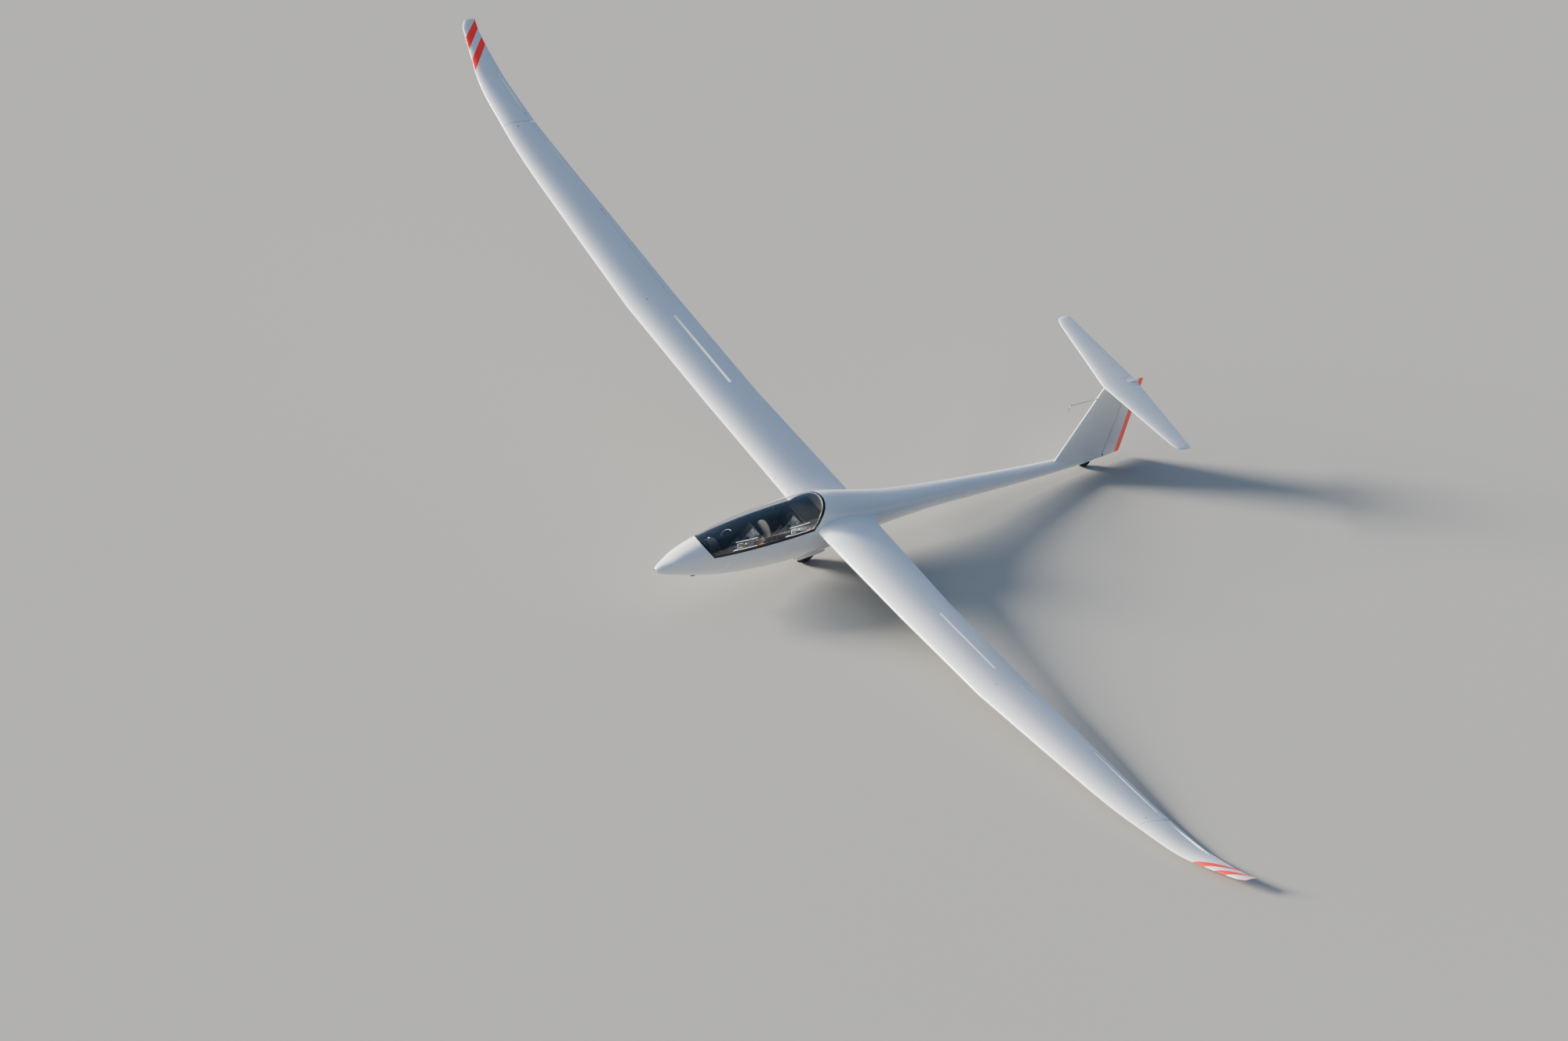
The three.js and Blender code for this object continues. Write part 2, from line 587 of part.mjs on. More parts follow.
const brakeEnds = [BRAKE.from, BRAKE.to].map((y) => {
  const station = wingStation(y);
  const x = station.nose + BRAKE.chordwise * (station.tail - station.nose);
  const { middle, half } = wingThere(y, x);
  return new THREE.Vector3(x, y, middle + half);
});
const brakeSpan = brakeEnds[0].distanceTo(brakeEnds[1]);
const brakeAcross = brakeEnds[1].clone().sub(brakeEnds[0]).normalize();
const brakeAft = new THREE.Vector3(1, 0, BRAKE.lean).addScaledVector(brakeAcross, -brakeAcross.x).normalize();
const brakeUp = brakeAft.clone().cross(brakeAcross).normalize();
const brakeFrame = new THREE.Matrix4()
  .makeBasis(brakeUp.clone().cross(brakeAcross).negate(), brakeAcross, brakeUp)
  .setPosition(brakeEnds[0].clone().lerp(brakeEnds[1], 0.5));

// Block in the airbrake's own frame: aft, outwards, up from the wing's skin
function brakeBlock(aft, across, up) {
  const box = new THREE.BoxGeometry(aft[1] - aft[0], across[1] - across[0], up[1] - up[0]);
  box.translate((aft[0] + aft[1]) / 2, (across[0] + across[1]) / 2, (up[0] + up[1]) / 2);
  box.applyMatrix4(brakeFrame);
  return solidOf(box);
}

const halfBrake = brakeSpan / 2;
const capHalf = BRAKE.cap / 2;
const guided = halfBrake + BRAKE.guide; // half length of a plate with the tongues that run in the grooves
const wellDepth = BRAKE.deep + RUN + BRAKE.capThick;
const brakeWell = union(
  brakeBlock([-BRAKE.wellHalf, BRAKE.wellHalf], [-halfBrake, halfBrake], [-wellDepth, BRAKE.wellTop]),
  brakeBlock([-capHalf - RUN, capHalf + RUN],
    [-halfBrake - 2 * RUN, halfBrake + 2 * RUN], [-BRAKE.capThick - 1, BRAKE.wellTop]),
  ...[BRAKE.upper, BRAKE.lower].map(([front, back]) => (
    brakeBlock([front + 1, back - 1], [-guided - 2, guided + 2], [-wellDepth, BRAKE.wellTop]))),
);
panels.inner.panel = panels.inner.panel.subtract(brakeWell);
const plateOf = ([front, back], top, deep) => union(
  brakeBlock([front, back], [-halfBrake + RUN, halfBrake - RUN], [top - deep, top]),
  brakeBlock([front + 1.5, back - 1.5], [-guided, guided], [top - deep, top]),
);
const capHalfLong = halfBrake + BRAKE.capEnd;
const brakeUpper = plateOf(BRAKE.upper, -BRAKE.sunk, BRAKE.deep)
  .add(brakeBlock([-capHalf, capHalf], [-capHalfLong, capHalfLong], [-BRAKE.capThick, -BRAKE.sunk]));
const brakeLower = plateOf(BRAKE.lower, -BRAKE.capThick - RUN, BRAKE.deep - BRAKE.lowerShort);

// Wing-tip skid, which fits the outer panel's underside
const skidSeat = wingThere(SKID.y, SKID.x);
const skidBottom = skidSeat.middle - skidSeat.half - SKID.deep;
const skidBlank = sidePrism([
  [SKID.x - SKID.long / 2, skidSeat.middle], [SKID.x - SKID.long / 2 + SKID.frontSlope, skidBottom],
  [SKID.x + SKID.long / 2 - SKID.rearSlope, skidBottom], [SKID.x + SKID.long / 2, skidSeat.middle],
].reverse(), SKID.y - SKID.thick / 2, SKID.y + SKID.thick / 2);
const outerSwollen = solidOf(skinOver([SKID.y - 190, ...WING.map((row) => row.y).filter((y) => (
  Math.abs(y - SKID.y) < 190)), SKID.y + 190].map((y) => {
  const station = wingStation(y);
  return foilSection(station, (x, z) => new THREE.Vector3(x, y, station.rise + z), SEAT);
})));
const tipSkid = skidBlank.subtract(outerSwollen);

// Wing roots: a short stub that swells towards the fuselage, most of all behind the wing

const rootRings = (side) => [0, 200, 250, 300, 350, WING_ROOT].map((y) => {
  const swell = Math.min(1, (WING_ROOT - y) / FAIRING.width) ** 2;
  const base = wingStation(WING_ROOT);
  const station = {
    ...base,
    nose: base.nose - FAIRING.lead * swell,
    tail: base.tail + FAIRING.trail * swell,
    thick: base.thick + FAIRING.thick * swell,
  };
  return foilSection(station, (x, z) => new THREE.Vector3(x, side * y, base.rise + z));
});
const rootStub = union(...[1, -1].map((side) => solidOf(skinOver(rootRings(side)))));

const centreFuselage = hull(SHELL_END + SEAT, CENTRE_END)
  .add(rootStub).subtract(wells).subtract(cavity).subtract(canopyOpening);
const tailBoom = hull(CENTRE_END + SEAT, HULL_END).subtract(wells);

// Canopy

const glassOutline = CANOPY_GAP + FRAME_WIDTH;
const canopyHull = (inset) => hull(CANOPY_REACH.front, CANOPY_REACH.rear, inset);
const canopyPrism = (shrink) => sidePrism(canopyOutline(shrink), -CLEAR, CLEAR);
const canopyFrame = canopyHull(0).intersect(canopyPrism(CANOPY_GAP))
  .subtract(canopyHull(FRAME_DEPTH)).subtract(canopyPrism(glassOutline))
  .add(union(...hingeArms));
const canopyGlass = canopyHull(0).intersect(canopyPrism(glassOutline + SEAT))
  .subtract(canopyHull(GLASS_THICKNESS));

// Fin, rudder and tailplane

function finLoft(from, to) {
  const inside = FIN.map((row) => row.z).filter((z) => z > from + 1 && z < to - 1);
  return solidOf(skinOver([from, ...inside, to].map((z) => {
    const station = {
      nose: along(FIN, 'z', z, 'nose'),
      tail: along(FIN, 'z', z, 'tail'),
      thick: along(FIN, 'z', z, 'thick'),
      camber: 0,
      incidence: 0,
    };
    return foilSection(station, (x, y) => new THREE.Vector3(x, y, z));
  })));
}

function finHalf(z, x) {
  const nose = along(FIN, 'z', z, 'nose');
  const chord = along(FIN, 'z', z, 'tail') - nose;
  const share = (x - nose) / chord;
  return foilHeights(share, along(FIN, 'z', z, 'thick'), 0).half * chord + EDGE * share;
}

const RUDDER_TOP = FIN.at(-1).z;
const rudderEnds = [RUDDER_FOOT, RUDDER_TOP].map((z) => (
  { at: [RUDDER_HINGE, 0, z], nose: finHalf(z, RUDDER_HINGE) - 0.4 }));
const rudderOutline = [
  [RUDDER_HINGE, RUDDER_FOOT], [RUDDER_HINGE + CUT.aft, RUDDER_HEEL + 10],
  [RUDDER_HINGE + CUT.aft, RUDDER_TOP + 100], [RUDDER_HINGE, RUDDER_TOP + 100],
];
const rudderPlaces = RUDDER_LUGS.map((z) => (z - RUDDER_FOOT) / (RUDDER_TOP - RUDDER_FOOT));
const { surface: rudder, lugs: rudderLugs } = hingedSurface(
  finLoft(RUDDER_FOOT, RUDDER_TOP), sidePrism(rudderOutline, -CUT.up, CUT.up), rudderEnds, rudderPlaces,
  LUG.rudderThick);

function stabLoft(swell = 0) {
  const starboard = STAB.slice(1);
  const order = [...starboard.map((row) => ({ ...row, y: -row.y })).reverse(), STAB[0], ...starboard];
  return solidOf(skinOver(order.map((row) => foilSection(
    { ...row, camber: 0, incidence: 0 }, (x, z) => new THREE.Vector3(x, row.y, STAB_HEIGHT + z), swell))));
}

function stabHalf(y, x) {
  const nose = along(STAB, 'y', y, 'nose');
  const chord = along(STAB, 'y', y, 'tail') - nose;
  const share = (x - nose) / chord;
  return foilHeights(share, along(STAB, 'y', y, 'thick'), 0).half * chord + EDGE * share;
}

const stabWhole = stabLoft();
const stabBlock = (front, inner, outer) => block(
  [front, inner, STAB_ROOM.bottom], [STAB_ROOM.rear, outer, STAB_ROOM.top]);
const elevatorEnds = [ELEVATOR_FROM, ELEVATOR_TO].map((y) => (
  { at: [ELEVATOR_HINGE, y, STAB_HEIGHT], nose: stabHalf(y, ELEVATOR_HINGE) - 0.3 }));
const elevatorPlaces = ELEVATOR_LUGS.map((y) => (y - ELEVATOR_FROM) / (ELEVATOR_TO - ELEVATOR_FROM));
const elevator = hingedSurface(
  stabWhole, stabBlock(ELEVATOR_HINGE, ELEVATOR_FROM, ELEVATOR_TO), elevatorEnds, elevatorPlaces);
const elevatorCut = stabBlock(
  ELEVATOR_HINGE - elevatorEnds[0].nose - RUN, ELEVATOR_FROM - RUN, ELEVATOR_TO + RUN);
const rudderNotch = stabBlock(RUDDER_HINGE - rudderEnds[1].nose - RUN, -ELEVATOR_FROM, ELEVATOR_FROM);
let stabiliser = stabWhole.subtract(elevatorCut).subtract(mirrored(elevatorCut)).subtract(rudderNotch);
for (const lug of elevator.lugs) {
  const solid = lugSolid(lug, FORWARD, elevatorEnds[0].nose + RUN + LUG.seat);
  stabiliser = stabiliser.add(solid).add(mirrored(solid));
}

const finRear = sidePrism([
  [RUDDER_HINGE - rudderEnds[0].nose - RUN, RUDDER_FOOT], [RUDDER_HINGE + CUT.aft, RUDDER_FOOT],
  [RUDDER_HINGE + CUT.aft, RUDDER_TOP], [RUDDER_HINGE - rudderEnds[1].nose - RUN, RUDDER_TOP],
], -CUT.up, CUT.up);
const finSeat = hull(FIN[0].nose - CUT.up, HULL_END + 20, -SEAT); // the boom that the fin stands on
let fin = finLoft(FIN_FOOT, FIN_TOP).subtract(finRear).subtract(finSeat).subtract(stabLoft(SEAT));
for (const lug of rudderLugs) fin = fin.add(lugSolid(lug, FORWARD, lug.nose + RUN + LUG.seat));

// Probe on the fin's front edge
const probeRoot = new THREE.Vector3(PROBE.root[0], 0, PROBE.root[1]);
const probeNose = new THREE.Vector3(PROBE.reach + PROBE.bend, 0, PROBE.level + 1);
const probeCorner = new THREE.Vector3(PROBE.reach, 0, PROBE.level);
const probeTurn = new THREE.Vector3(PROBE.reach, 0, PROBE.level - PROBE.bend);
const probePath = new THREE.CurvePath();
probePath.add(new THREE.LineCurve3(probeRoot, probeNose));
probePath.add(new THREE.QuadraticBezierCurve3(probeNose, probeCorner, probeTurn));
probePath.add(new THREE.LineCurve3(probeTurn, new THREE.Vector3(PROBE.reach, 0, PROBE.drop)));
const probeRound = new THREE.Shape().absarc(0, 0, PROBE.radius, 0, 2 * Math.PI);
const finProbe = solidOf(new THREE.ExtrudeGeometry(probeRound, {
  extrudePath: probePath, steps: 14, curveSegments: 4, bevelEnabled: false,
}));
const probeRun = probeRoot.clone().sub(probeNose).normalize();
fin = fin.subtract(bar(
  probeRoot.clone().addScaledVector(probeRun, -PROBE.socket).toArray(),
  probeRoot.clone().addScaledVector(probeRun, SEAT).toArray(), PROBE.radius + PROBE.play));

// Wheels

function tyreOf(wheel, sides) {
  const half = wheel.width / 2;
  const bead = half * TYRE.bead;
  const belly = (wheel.radius + wheel.rim) / 2 + TYRE.belly;
  const side = [];
  const crownSteps = 4;
  for (let i = 0; i <= crownSteps; i += 1) {
    const angle = (i / crownSteps) * Math.PI / 2;
    side.push([belly + (wheel.radius - belly) * Math.sin(angle) ** 0.9, half * Math.cos(angle) ** 0.75]);
  }
  const upper = [[wheel.rim, bead], [wheel.rim + TYRE.lip, half * TYRE.flank], ...side];
  const lower = upper.slice(0, -1).reverse().map(([r, y]) => [r, -y]);
  const outline = [...upper, ...lower, upper[0]].map(([r, y]) => new THREE.Vector2(r, y)).reverse();
  return solidOf(new THREE.LatheGeometry(outline, sides)).translate([wheel.x, 0, wheel.z]);
}

function hubOf(wheel, sides) {
  const bead = (wheel.width / 2) * TYRE.bead;
  const bore = wheel.axle + HUB.play;
  const rim = wheel.rim - SEAT;
  const upper = [
    [bore, bead], [bore + HUB.boss, bead], [bore + HUB.web, HUB.webHalf],
    [rim - HUB.flange, HUB.webHalf], [rim - HUB.flangeTop, bead], [rim, bead],
  ];
  const lower = upper.map(([r, y]) => [r, -y]).reverse();
  const outline = [...upper, ...lower, upper[0]].map(([r, y]) => new THREE.Vector2(r, y)).reverse();
  return solidOf(new THREE.LatheGeometry(outline, sides)).translate([wheel.x, 0, wheel.z]);
}

const axleOf = (wheel, half) => (
  bar([wheel.x, -half, wheel.z], [wheel.x, half, wheel.z], wheel.axle, wheel.axle, 16));

// Main gear
const armOutline = [
  [FORK.top[0] - 24, FORK.top[1] + 22], [FORK.top[0] + 26, FORK.top[1] + 14],
  [MAIN.x + 26, MAIN.z + 6], [MAIN.x + 8, MAIN.z - 26], [MAIN.x - 22, MAIN.z - 18],
];
const crossBar = ([x, z], half, radius) => bar([x, -half, z], [x, half, z], radius);
const forkSide = (side) => {
  const [footX, footZ] = [MAIN.x + FORK.strutFoot[0], MAIN.z + FORK.strutFoot[1]];
  const out = side * (FORK.arm + FORK.strutOut);
  const end = side * (FORK.arm + FORK.axleReach);
  const [low, high] = [side * FORK.arm, side * (FORK.arm + FORK.plate)].sort((a, b) => a - b);
  return union(
    sidePrism(armOutline, low, high),
    bar([footX, out, footZ], [FORK.strutTop[0], out, FORK.strutTop[1]], FORK.strut),
    bar([MAIN.x, side * (FORK.arm - 4), MAIN.z], [MAIN.x, end, MAIN.z], FORK.axleBoss),
    bar([footX, side * (FORK.arm + 2), footZ], [footX, end, footZ], FORK.footBoss),
  );
};
const wellInside = MAIN_WELL.half - SEAT;
const mainGearFork = union(
  forkSide(1), forkSide(-1), axleOf(MAIN, FORK.arm + FORK.axleReach),
  crossBar(FORK.top, wellInside, FORK.cross), crossBar(FORK.strutTop, wellInside, FORK.strutCross),
);

// Gear doors: the skin over each half of the well, swung down about its outer edge
const DOOR = { swing: 84 * RAD, thick: 6, edge: MAIN_WELL.half - 0.5, ends: 8, middle: 2, drop: 6.3 };
const doorEdge = (x) => {
  const ring = hullSection(x, 0, HULL_POINTS).filter((p) => p.z < 0 && p.y > 0).sort((a, b) => a.y - b.y);
  const i = ring.findIndex((p) => p.y >= DOOR.edge);
  const [a, b] = [ring[i - 1], ring[i]];
  return new THREE.Vector3(x, DOOR.edge, a.z + (b.z - a.z) * (DOOR.edge - a.y) / (b.y - a.y));
};
const doorFront = doorEdge(MAIN_WELL.from);
const doorBack = doorEdge(MAIN_WELL.to);
const doorAxis = doorBack.clone().sub(doorFront).normalize();
const doorTurn = new THREE.Quaternion().setFromAxisAngle(doorAxis, DOOR.swing);
const doorMatrix = new THREE.Matrix4().makeTranslation(...doorFront.toArray())
  .multiply(new THREE.Matrix4().makeRotationFromQuaternion(doorTurn))
  .multiply(new THREE.Matrix4().makeTranslation(...doorFront.clone().negate().toArray()));
const doorHull = (inset) => hull(MAIN_WELL.from - 140, MAIN_WELL.to + 130, inset);
const doorBlock = block(
  [MAIN_WELL.from + DOOR.ends, DOOR.middle, BELOW], [MAIN_WELL.to - DOOR.ends, DOOR.edge, 0]);
const gearDoor = doorHull(0).subtract(doorHull(DOOR.thick)).intersect(doorBlock)
  .transform(doorMatrix.elements).translate([0, 0, -DOOR.drop]);

// Tow hooks under the nose and ahead of the main wheel
function towHook(x) {
  const bottom = along(HULL, 'at', x, 'bottom');
  const [top, beak] = [bottom + TOW_HOOKS.top, bottom - TOW_HOOKS.mouth];
  return sidePrism([
    [x - 34, top], [x - 30, bottom - 10], [x - 12, beak], [x + 22, beak],
    [x + 22, bottom - 15], [x - 2, bottom - 13], [x + 2, bottom - 6], [x + 30, bottom - 6], [x + 34, top],
  ], -TOW_HOOKS.half, TOW_HOOKS.half).subtract(hull(NOSE_CAP, CENTRE_END, -SEAT));
}

// Cockpit fittings

const insideHull = hull(COCKPIT_FRONT + 1, DECK_END - 1, SKIN + SEAT)
  .intersect(sidePrism(cavityOutline(SEAT), -CLEAR, CLEAR)).subtract(noseBox(SEAT));

function seatPath(seat) {
  const [kx, kz] = seat.knee;
  const [hx, hz] = seat.hip;
  const [sx, sz] = seat.shoulder;
  const [thighX, thighZ] = [kx + (hx - kx) * 0.55, kz + (hz - kz) * 0.75];
  const [backX, backZ] = [hx + (sx - hx) * 0.35, hz + (sz - hz) * 0.24];
  return new THREE.SplineCurve([[kx, kz], [thighX, thighZ], [hx, hz], [backX, backZ], [sx, sz]]
    .map(([x, z]) => new THREE.Vector2(x, z)));
}

// Outline that follows a stretch of a curve between two distances to its upper side
function followed(curve, from, to, low, high) {
  const upper = [];
  const lower = [];
  for (let i = Math.round(from * SEAT_STEPS); i <= Math.round(to * SEAT_STEPS); i += 1) {
    const t = i / SEAT_STEPS;
    const p = curve.getPoint(t);
    const d = curve.getTangent(t);
    upper.push([p.x - d.y * high, p.y + d.x * high]);
    lower.push([p.x - d.y * low, p.y + d.x * low]);
  }
  return [...lower, ...upper.reverse()];
}

function seatOf(seat) {
  const curve = seatPath(seat);
  const pan = followed(curve, 0, 1, -PAN.thick, 0);
  const under = [...pan.slice(0, pan.length / 2), [seat.shoulder[0], BELOW], [seat.knee[0], BELOW]];
  const kneeX = seat.knee[0];
  const { from, to, half, top } = STICK_HOLE;
  const stickHole = block([kneeX + from, -half, BELOW], [kneeX + to, half, top]);
  const solid = union(
    sidePrism(pan, -seat.half, seat.half),
    sidePrism(under, seat.half - PAN.side, seat.half),
    sidePrism(under, -seat.half, -seat.half + PAN.side),
  ).subtract(stickHole).intersect(insideHull);
  const cushionHalf = seat.half - CUSHION.inset;
  const cushion = sidePrism(
    followed(curve, CUSHION.from, CUSHION.to, SEAT, CUSHION.thick), -cushionHalf, cushionHalf)
    .intersect(insideHull);
  const headrest = sidePrism(
    followed(curve, HEADREST.from, HEADREST.to, SEAT, HEADREST.thick), -HEADREST.half, HEADREST.half)
    .intersect(insideHull);
  return { solid, cushion, headrest };
}

const frontSeat = seatOf(FRONT_SEAT);
const rearSeat = seatOf(REAR_SEAT);

// Prism with an outline seen from ahead [y, z], from x = low to x = high
function frontPrism(outline, low, high) {
  const shape = new THREE.Shape(outline.map(([y, z]) => new THREE.Vector2(y, z)));
  const prism = new THREE.ExtrudeGeometry(shape, { depth: high - low, bevelEnabled: false });
  prism.rotateX(Math.PI / 2).rotateZ(Math.PI / 2);
  prism.translate(low, 0, 0);
  return solidOf(prism);
}

// Panel on a narrow foot, with a rounded top
function panelOutline({ half, shoulder, crown, foot }) {
  const [neck, hip] = [shoulder - 70, shoulder - 30];
  const steps = 8;
  const arch = Array.from({ length: steps + 1 }, (_, i) => {
    const angle = (i / steps) * Math.PI;
    return [half * Math.cos(angle), shoulder + (crown - shoulder) * Math.sin(angle)];
  });
  return [[-foot, BELOW], [foot, BELOW], [foot, neck], [half, hip], ...arch, [-half, hip], [-foot, neck]];
}

const panelOf = (panel) => frontPrism(panelOutline(panel), panel.x, panel.x + panel.thick);
const hood = frontPrism(panelOutline({ ...HOOD, foot: 40 }), HOOD.x, FRONT_PANEL.x + 1)
  .intersect(block([HOOD.x, -HOOD.half, HOOD.from], [FRONT_PANEL.x + FRONT_PANEL.thick, HOOD.half, ABOVE]));
const frontPanel = union(panelOf(FRONT_PANEL), hood).intersect(insideHull);
const rearPanel = panelOf(REAR_PANEL).intersect(insideHull);

function stickOf(seat) {
  const foot = seat.knee[0] + STICK.behindKnee;
  const bend = foot - STICK.lean;
  return union(
    bar([foot, 0, STICK.foot], [bend, 0, STICK.bend], STICK.tube),
    bar([bend, 0, STICK.bend - 10], [bend - 8, 0, STICK.top], STICK.grip, STICK.gripTop),
  ).intersect(insideHull);
}

const consoleBox = (outer, bottom) => block(
  [CONSOLE.from, CONSOLE.inner, bottom], [CONSOLE.to, outer, CONSOLE.top]);
const sideConsole = union(
  consoleBox(CONSOLE.outer, CONSOLE.top - CONSOLE.shelf),
  consoleBox(CONSOLE.inner + CONSOLE.skirt, CONSOLE.bottom),
).intersect(insideHull);

const pedalBox = (halfDeep, middle, halfWide, low, high) => block(
  [PEDALS.x - halfDeep, middle - halfWide, low], [PEDALS.x + halfDeep, middle + halfWide, high]);
const pedals = union(
  crossBar([PEDALS.x, PEDALS.height], PEDALS.tubeHalf, PEDALS.tube),
  ...[-1, 1].map((side) => union(
    pedalBox(5, side * PEDALS.out, 8, PEDALS.height - 5, PEDALS.padFoot + 30),
    pedalBox(8, side * PEDALS.out, PEDALS.padHalf, PEDALS.padFoot, PEDALS.padTop),
    pedalBox(7, side * PEDALS.post, 7, BELOW, PEDALS.height + 2),
  )),
).intersect(insideHull);

// Assembly

const glider = new THREE.Group();
const airframe = new THREE.Group();
glider.add(airframe);

function add(name, solid, material, parent = airframe) {
  const geometry = geometryOf(solid);
  parent.updateWorldMatrix(true, false);
  geometry.applyMatrix4(parent.matrixWorld.clone().invert());
  const mesh = new THREE.Mesh(geometry, material);
  mesh.name = name;
  parent.add(mesh);
  return mesh;
}

// Group at a joint, with its own Y axis along the joint's axis
function jointAt(name, place, axis, parent = airframe) {
  const group = new THREE.Group();
  group.name = name;
  parent.add(group);
  group.position.set(...place);
  group.quaternion.setFromUnitVectors(new THREE.Vector3(0, 1, 0), new THREE.Vector3(...axis).normalize());
  return group;
}

const flip = ([x, y, z]) => [x, -y, z];
const hingeAxis = (ends) => ends[1].at.map((v, i) => v - ends[0].at[i]);

add('nose_intake', noseIntake, gelcoat);
add('cockpit_shell', cockpitShell, gelcoat);
add('centre_fuselage', centreFuselage, gelcoat);
add('tail_boom', tailBoom, gelcoat);
add('fin', fin, gelcoat);
add('stabiliser', stabiliser, gelcoat);
add('fin_probe', finProbe, steel);

const canopyHinge = jointAt('canopy_hinge', hingePoints[0].toArray(), canopyAxis.toArray());
add('canopy_frame', canopyFrame, frameBlack, canopyHinge);
add('canopy_glass', canopyGlass, clearGlass, canopyHinge);

const rudderHinge = jointAt('rudder_hinge', [RUDDER_HINGE, 0, RUDDER_FOOT], [0, 0, 1]);
add('rudder', rudder, gelcoat, rudderHinge);
const elevatorHinge = jointAt('elevator_hinge', [ELEVATOR_HINGE, 0, STAB_HEIGHT], [0, 1, 0]);
add('elevator_starboard', elevator.surface, gelcoat, elevatorHinge);
add('elevator_port', mirrored(elevator.surface), gelcoat, elevatorHinge);

for (const side of ['starboard', 'port']) {
  const port = side === 'port';
  const solid = port ? mirrored : (s) => s;
  const place = port ? flip : (p) => p;
  for (const name of ['inner', 'outer']) {
    const { panel, aileron, hinge } = panels[name];
    add(`wing_${name}_${side}`, solid(panel), gelcoat);
    const axis = place(hingeAxis(hinge)).map((v) => (port ? -v : v));
    const pivot = jointAt(`aileron_${name}_${side}_hinge`, place(hinge[0].at), axis);
    add(`aileron_${name}_${side}`, solid(aileron), gelcoat, pivot);
  }
  const lift = place(brakeUp.toArray());
  const middle = place(brakeEnds[0].clone().lerp(brakeEnds[1], 0.5).toArray());
  for (const [level, plate] of [['upper', brakeUpper], ['lower', brakeLower]]) {
    const slide = jointAt(`airbrake_${level}_${side}_slide`, middle, lift);
    add(`airbrake_${level}_${side}`, solid(plate), gelcoat, slide);
  }
  add(`tip_skid_${side}`, solid(tipSkid), skidBlack);
  add(`gear_door_${side}`, solid(gearDoor), gelcoat);
  add(`side_console_${side}`, solid(sideConsole), interior);
}

const wheelsAt = [['main', MAIN, 28], ['nose', NOSE, 20], ['tail', TAIL, 20]];
for (const [name, wheel, sides] of wheelsAt) {
  const spin = jointAt(`${name}_wheel_spin`, [wheel.x, 0, wheel.z], [0, 1, 0]);
  add(`${name}_tyre`, tyreOf(wheel, sides), rubber, spin);
  add(`${name}_wheel_hub`, hubOf(wheel, sides), alloy, spin);
}
add('main_gear_fork', mainGearFork, steel);
add('nose_wheel_axle', axleOf(NOSE, NOSE_WELL.half - SEAT), steel);
add('tail_wheel_axle', axleOf(TAIL, TAIL_WELL.half - SEAT), steel);
add('tow_hook_nose', towHook(TOW_HOOKS.nose), steel);
add('tow_hook_centre', towHook(TOW_HOOKS.centre), steel);

add('seat_pan_front', frontSeat.solid, interior);
add('seat_cushion_front', frontSeat.cushion, cloth);
add('headrest_front', frontSeat.headrest, cloth);
add('seat_pan_rear', rearSeat.solid, interior);
add('seat_cushion_rear', rearSeat.cushion, cloth);
add('headrest_rear', rearSeat.headrest, cloth);
add('instrument_panel_front', frontPanel, panelBlack);
add('instrument_panel_rear', rearPanel, panelBlack);
add('control_stick_front', stickOf(FRONT_SEAT), panelBlack);
add('control_stick_rear', stickOf(REAR_SEAT), panelBlack);
add('rudder_pedals', pedals, steel);

// Parked attitude: the plane through the lowest points of the two wheels and the port skid is level

function lowestAlong(name, up) {
  const mesh = airframe.getObjectByName(name);
  mesh.updateWorldMatrix(true, false);
  const position = mesh.geometry.attributes.position;
  let best = null;
  const corner = new THREE.Vector3();
  for (let i = 0; i < position.count; i += 1) {
    corner.fromBufferAttribute(position, i).applyMatrix4(mesh.matrixWorld);
    if (!best || corner.dot(up) < best.dot(up)) best = corner.clone();
  }
  return best;
}

const up = new THREE.Vector3(0, 0, 1);
for (let round = 0; round < 12; round += 1) {
  const [main, tail, tip] = ['main_tyre', 'tail_tyre', 'tip_skid_port'].map((name) => lowestAlong(name, up));
  up.copy(tail.sub(main).cross(tip.sub(main))).normalize();
  if (up.z < 0) up.negate();
}
const ahead = new THREE.Vector3(1, 0, 0).addScaledVector(up, -up.x).normalize();
const parked = new THREE.Matrix4().makeBasis(ahead, up.clone().cross(ahead), up).transpose();
airframe.quaternion.setFromRotationMatrix(parked);
airframe.updateWorldMatrix(true, true);
const box = new THREE.Box3().setFromObject(airframe, true);
const centre = box.getCenter(new THREE.Vector3());
airframe.position.set(-centre.x, -centre.y, -box.min.z);

export default glider;
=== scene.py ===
import json
import math

import bmesh
import bpy
from mathutils import Matrix, Vector


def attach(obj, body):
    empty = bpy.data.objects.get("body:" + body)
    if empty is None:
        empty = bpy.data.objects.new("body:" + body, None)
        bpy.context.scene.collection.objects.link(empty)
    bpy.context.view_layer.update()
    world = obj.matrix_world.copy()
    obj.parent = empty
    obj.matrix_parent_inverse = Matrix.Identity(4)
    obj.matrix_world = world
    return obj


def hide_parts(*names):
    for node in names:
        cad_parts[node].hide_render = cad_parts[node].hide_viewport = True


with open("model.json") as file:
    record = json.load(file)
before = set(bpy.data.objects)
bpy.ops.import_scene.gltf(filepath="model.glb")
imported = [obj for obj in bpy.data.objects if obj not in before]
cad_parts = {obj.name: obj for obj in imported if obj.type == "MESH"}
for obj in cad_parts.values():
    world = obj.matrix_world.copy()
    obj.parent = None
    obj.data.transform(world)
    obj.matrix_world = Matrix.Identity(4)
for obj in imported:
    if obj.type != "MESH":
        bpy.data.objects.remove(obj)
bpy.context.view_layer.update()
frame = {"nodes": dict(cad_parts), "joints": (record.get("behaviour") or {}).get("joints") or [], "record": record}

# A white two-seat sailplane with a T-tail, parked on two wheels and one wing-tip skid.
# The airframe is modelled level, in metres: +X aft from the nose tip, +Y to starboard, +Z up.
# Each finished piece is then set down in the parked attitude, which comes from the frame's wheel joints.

# Driving sizes, in metres, the same as the construction's

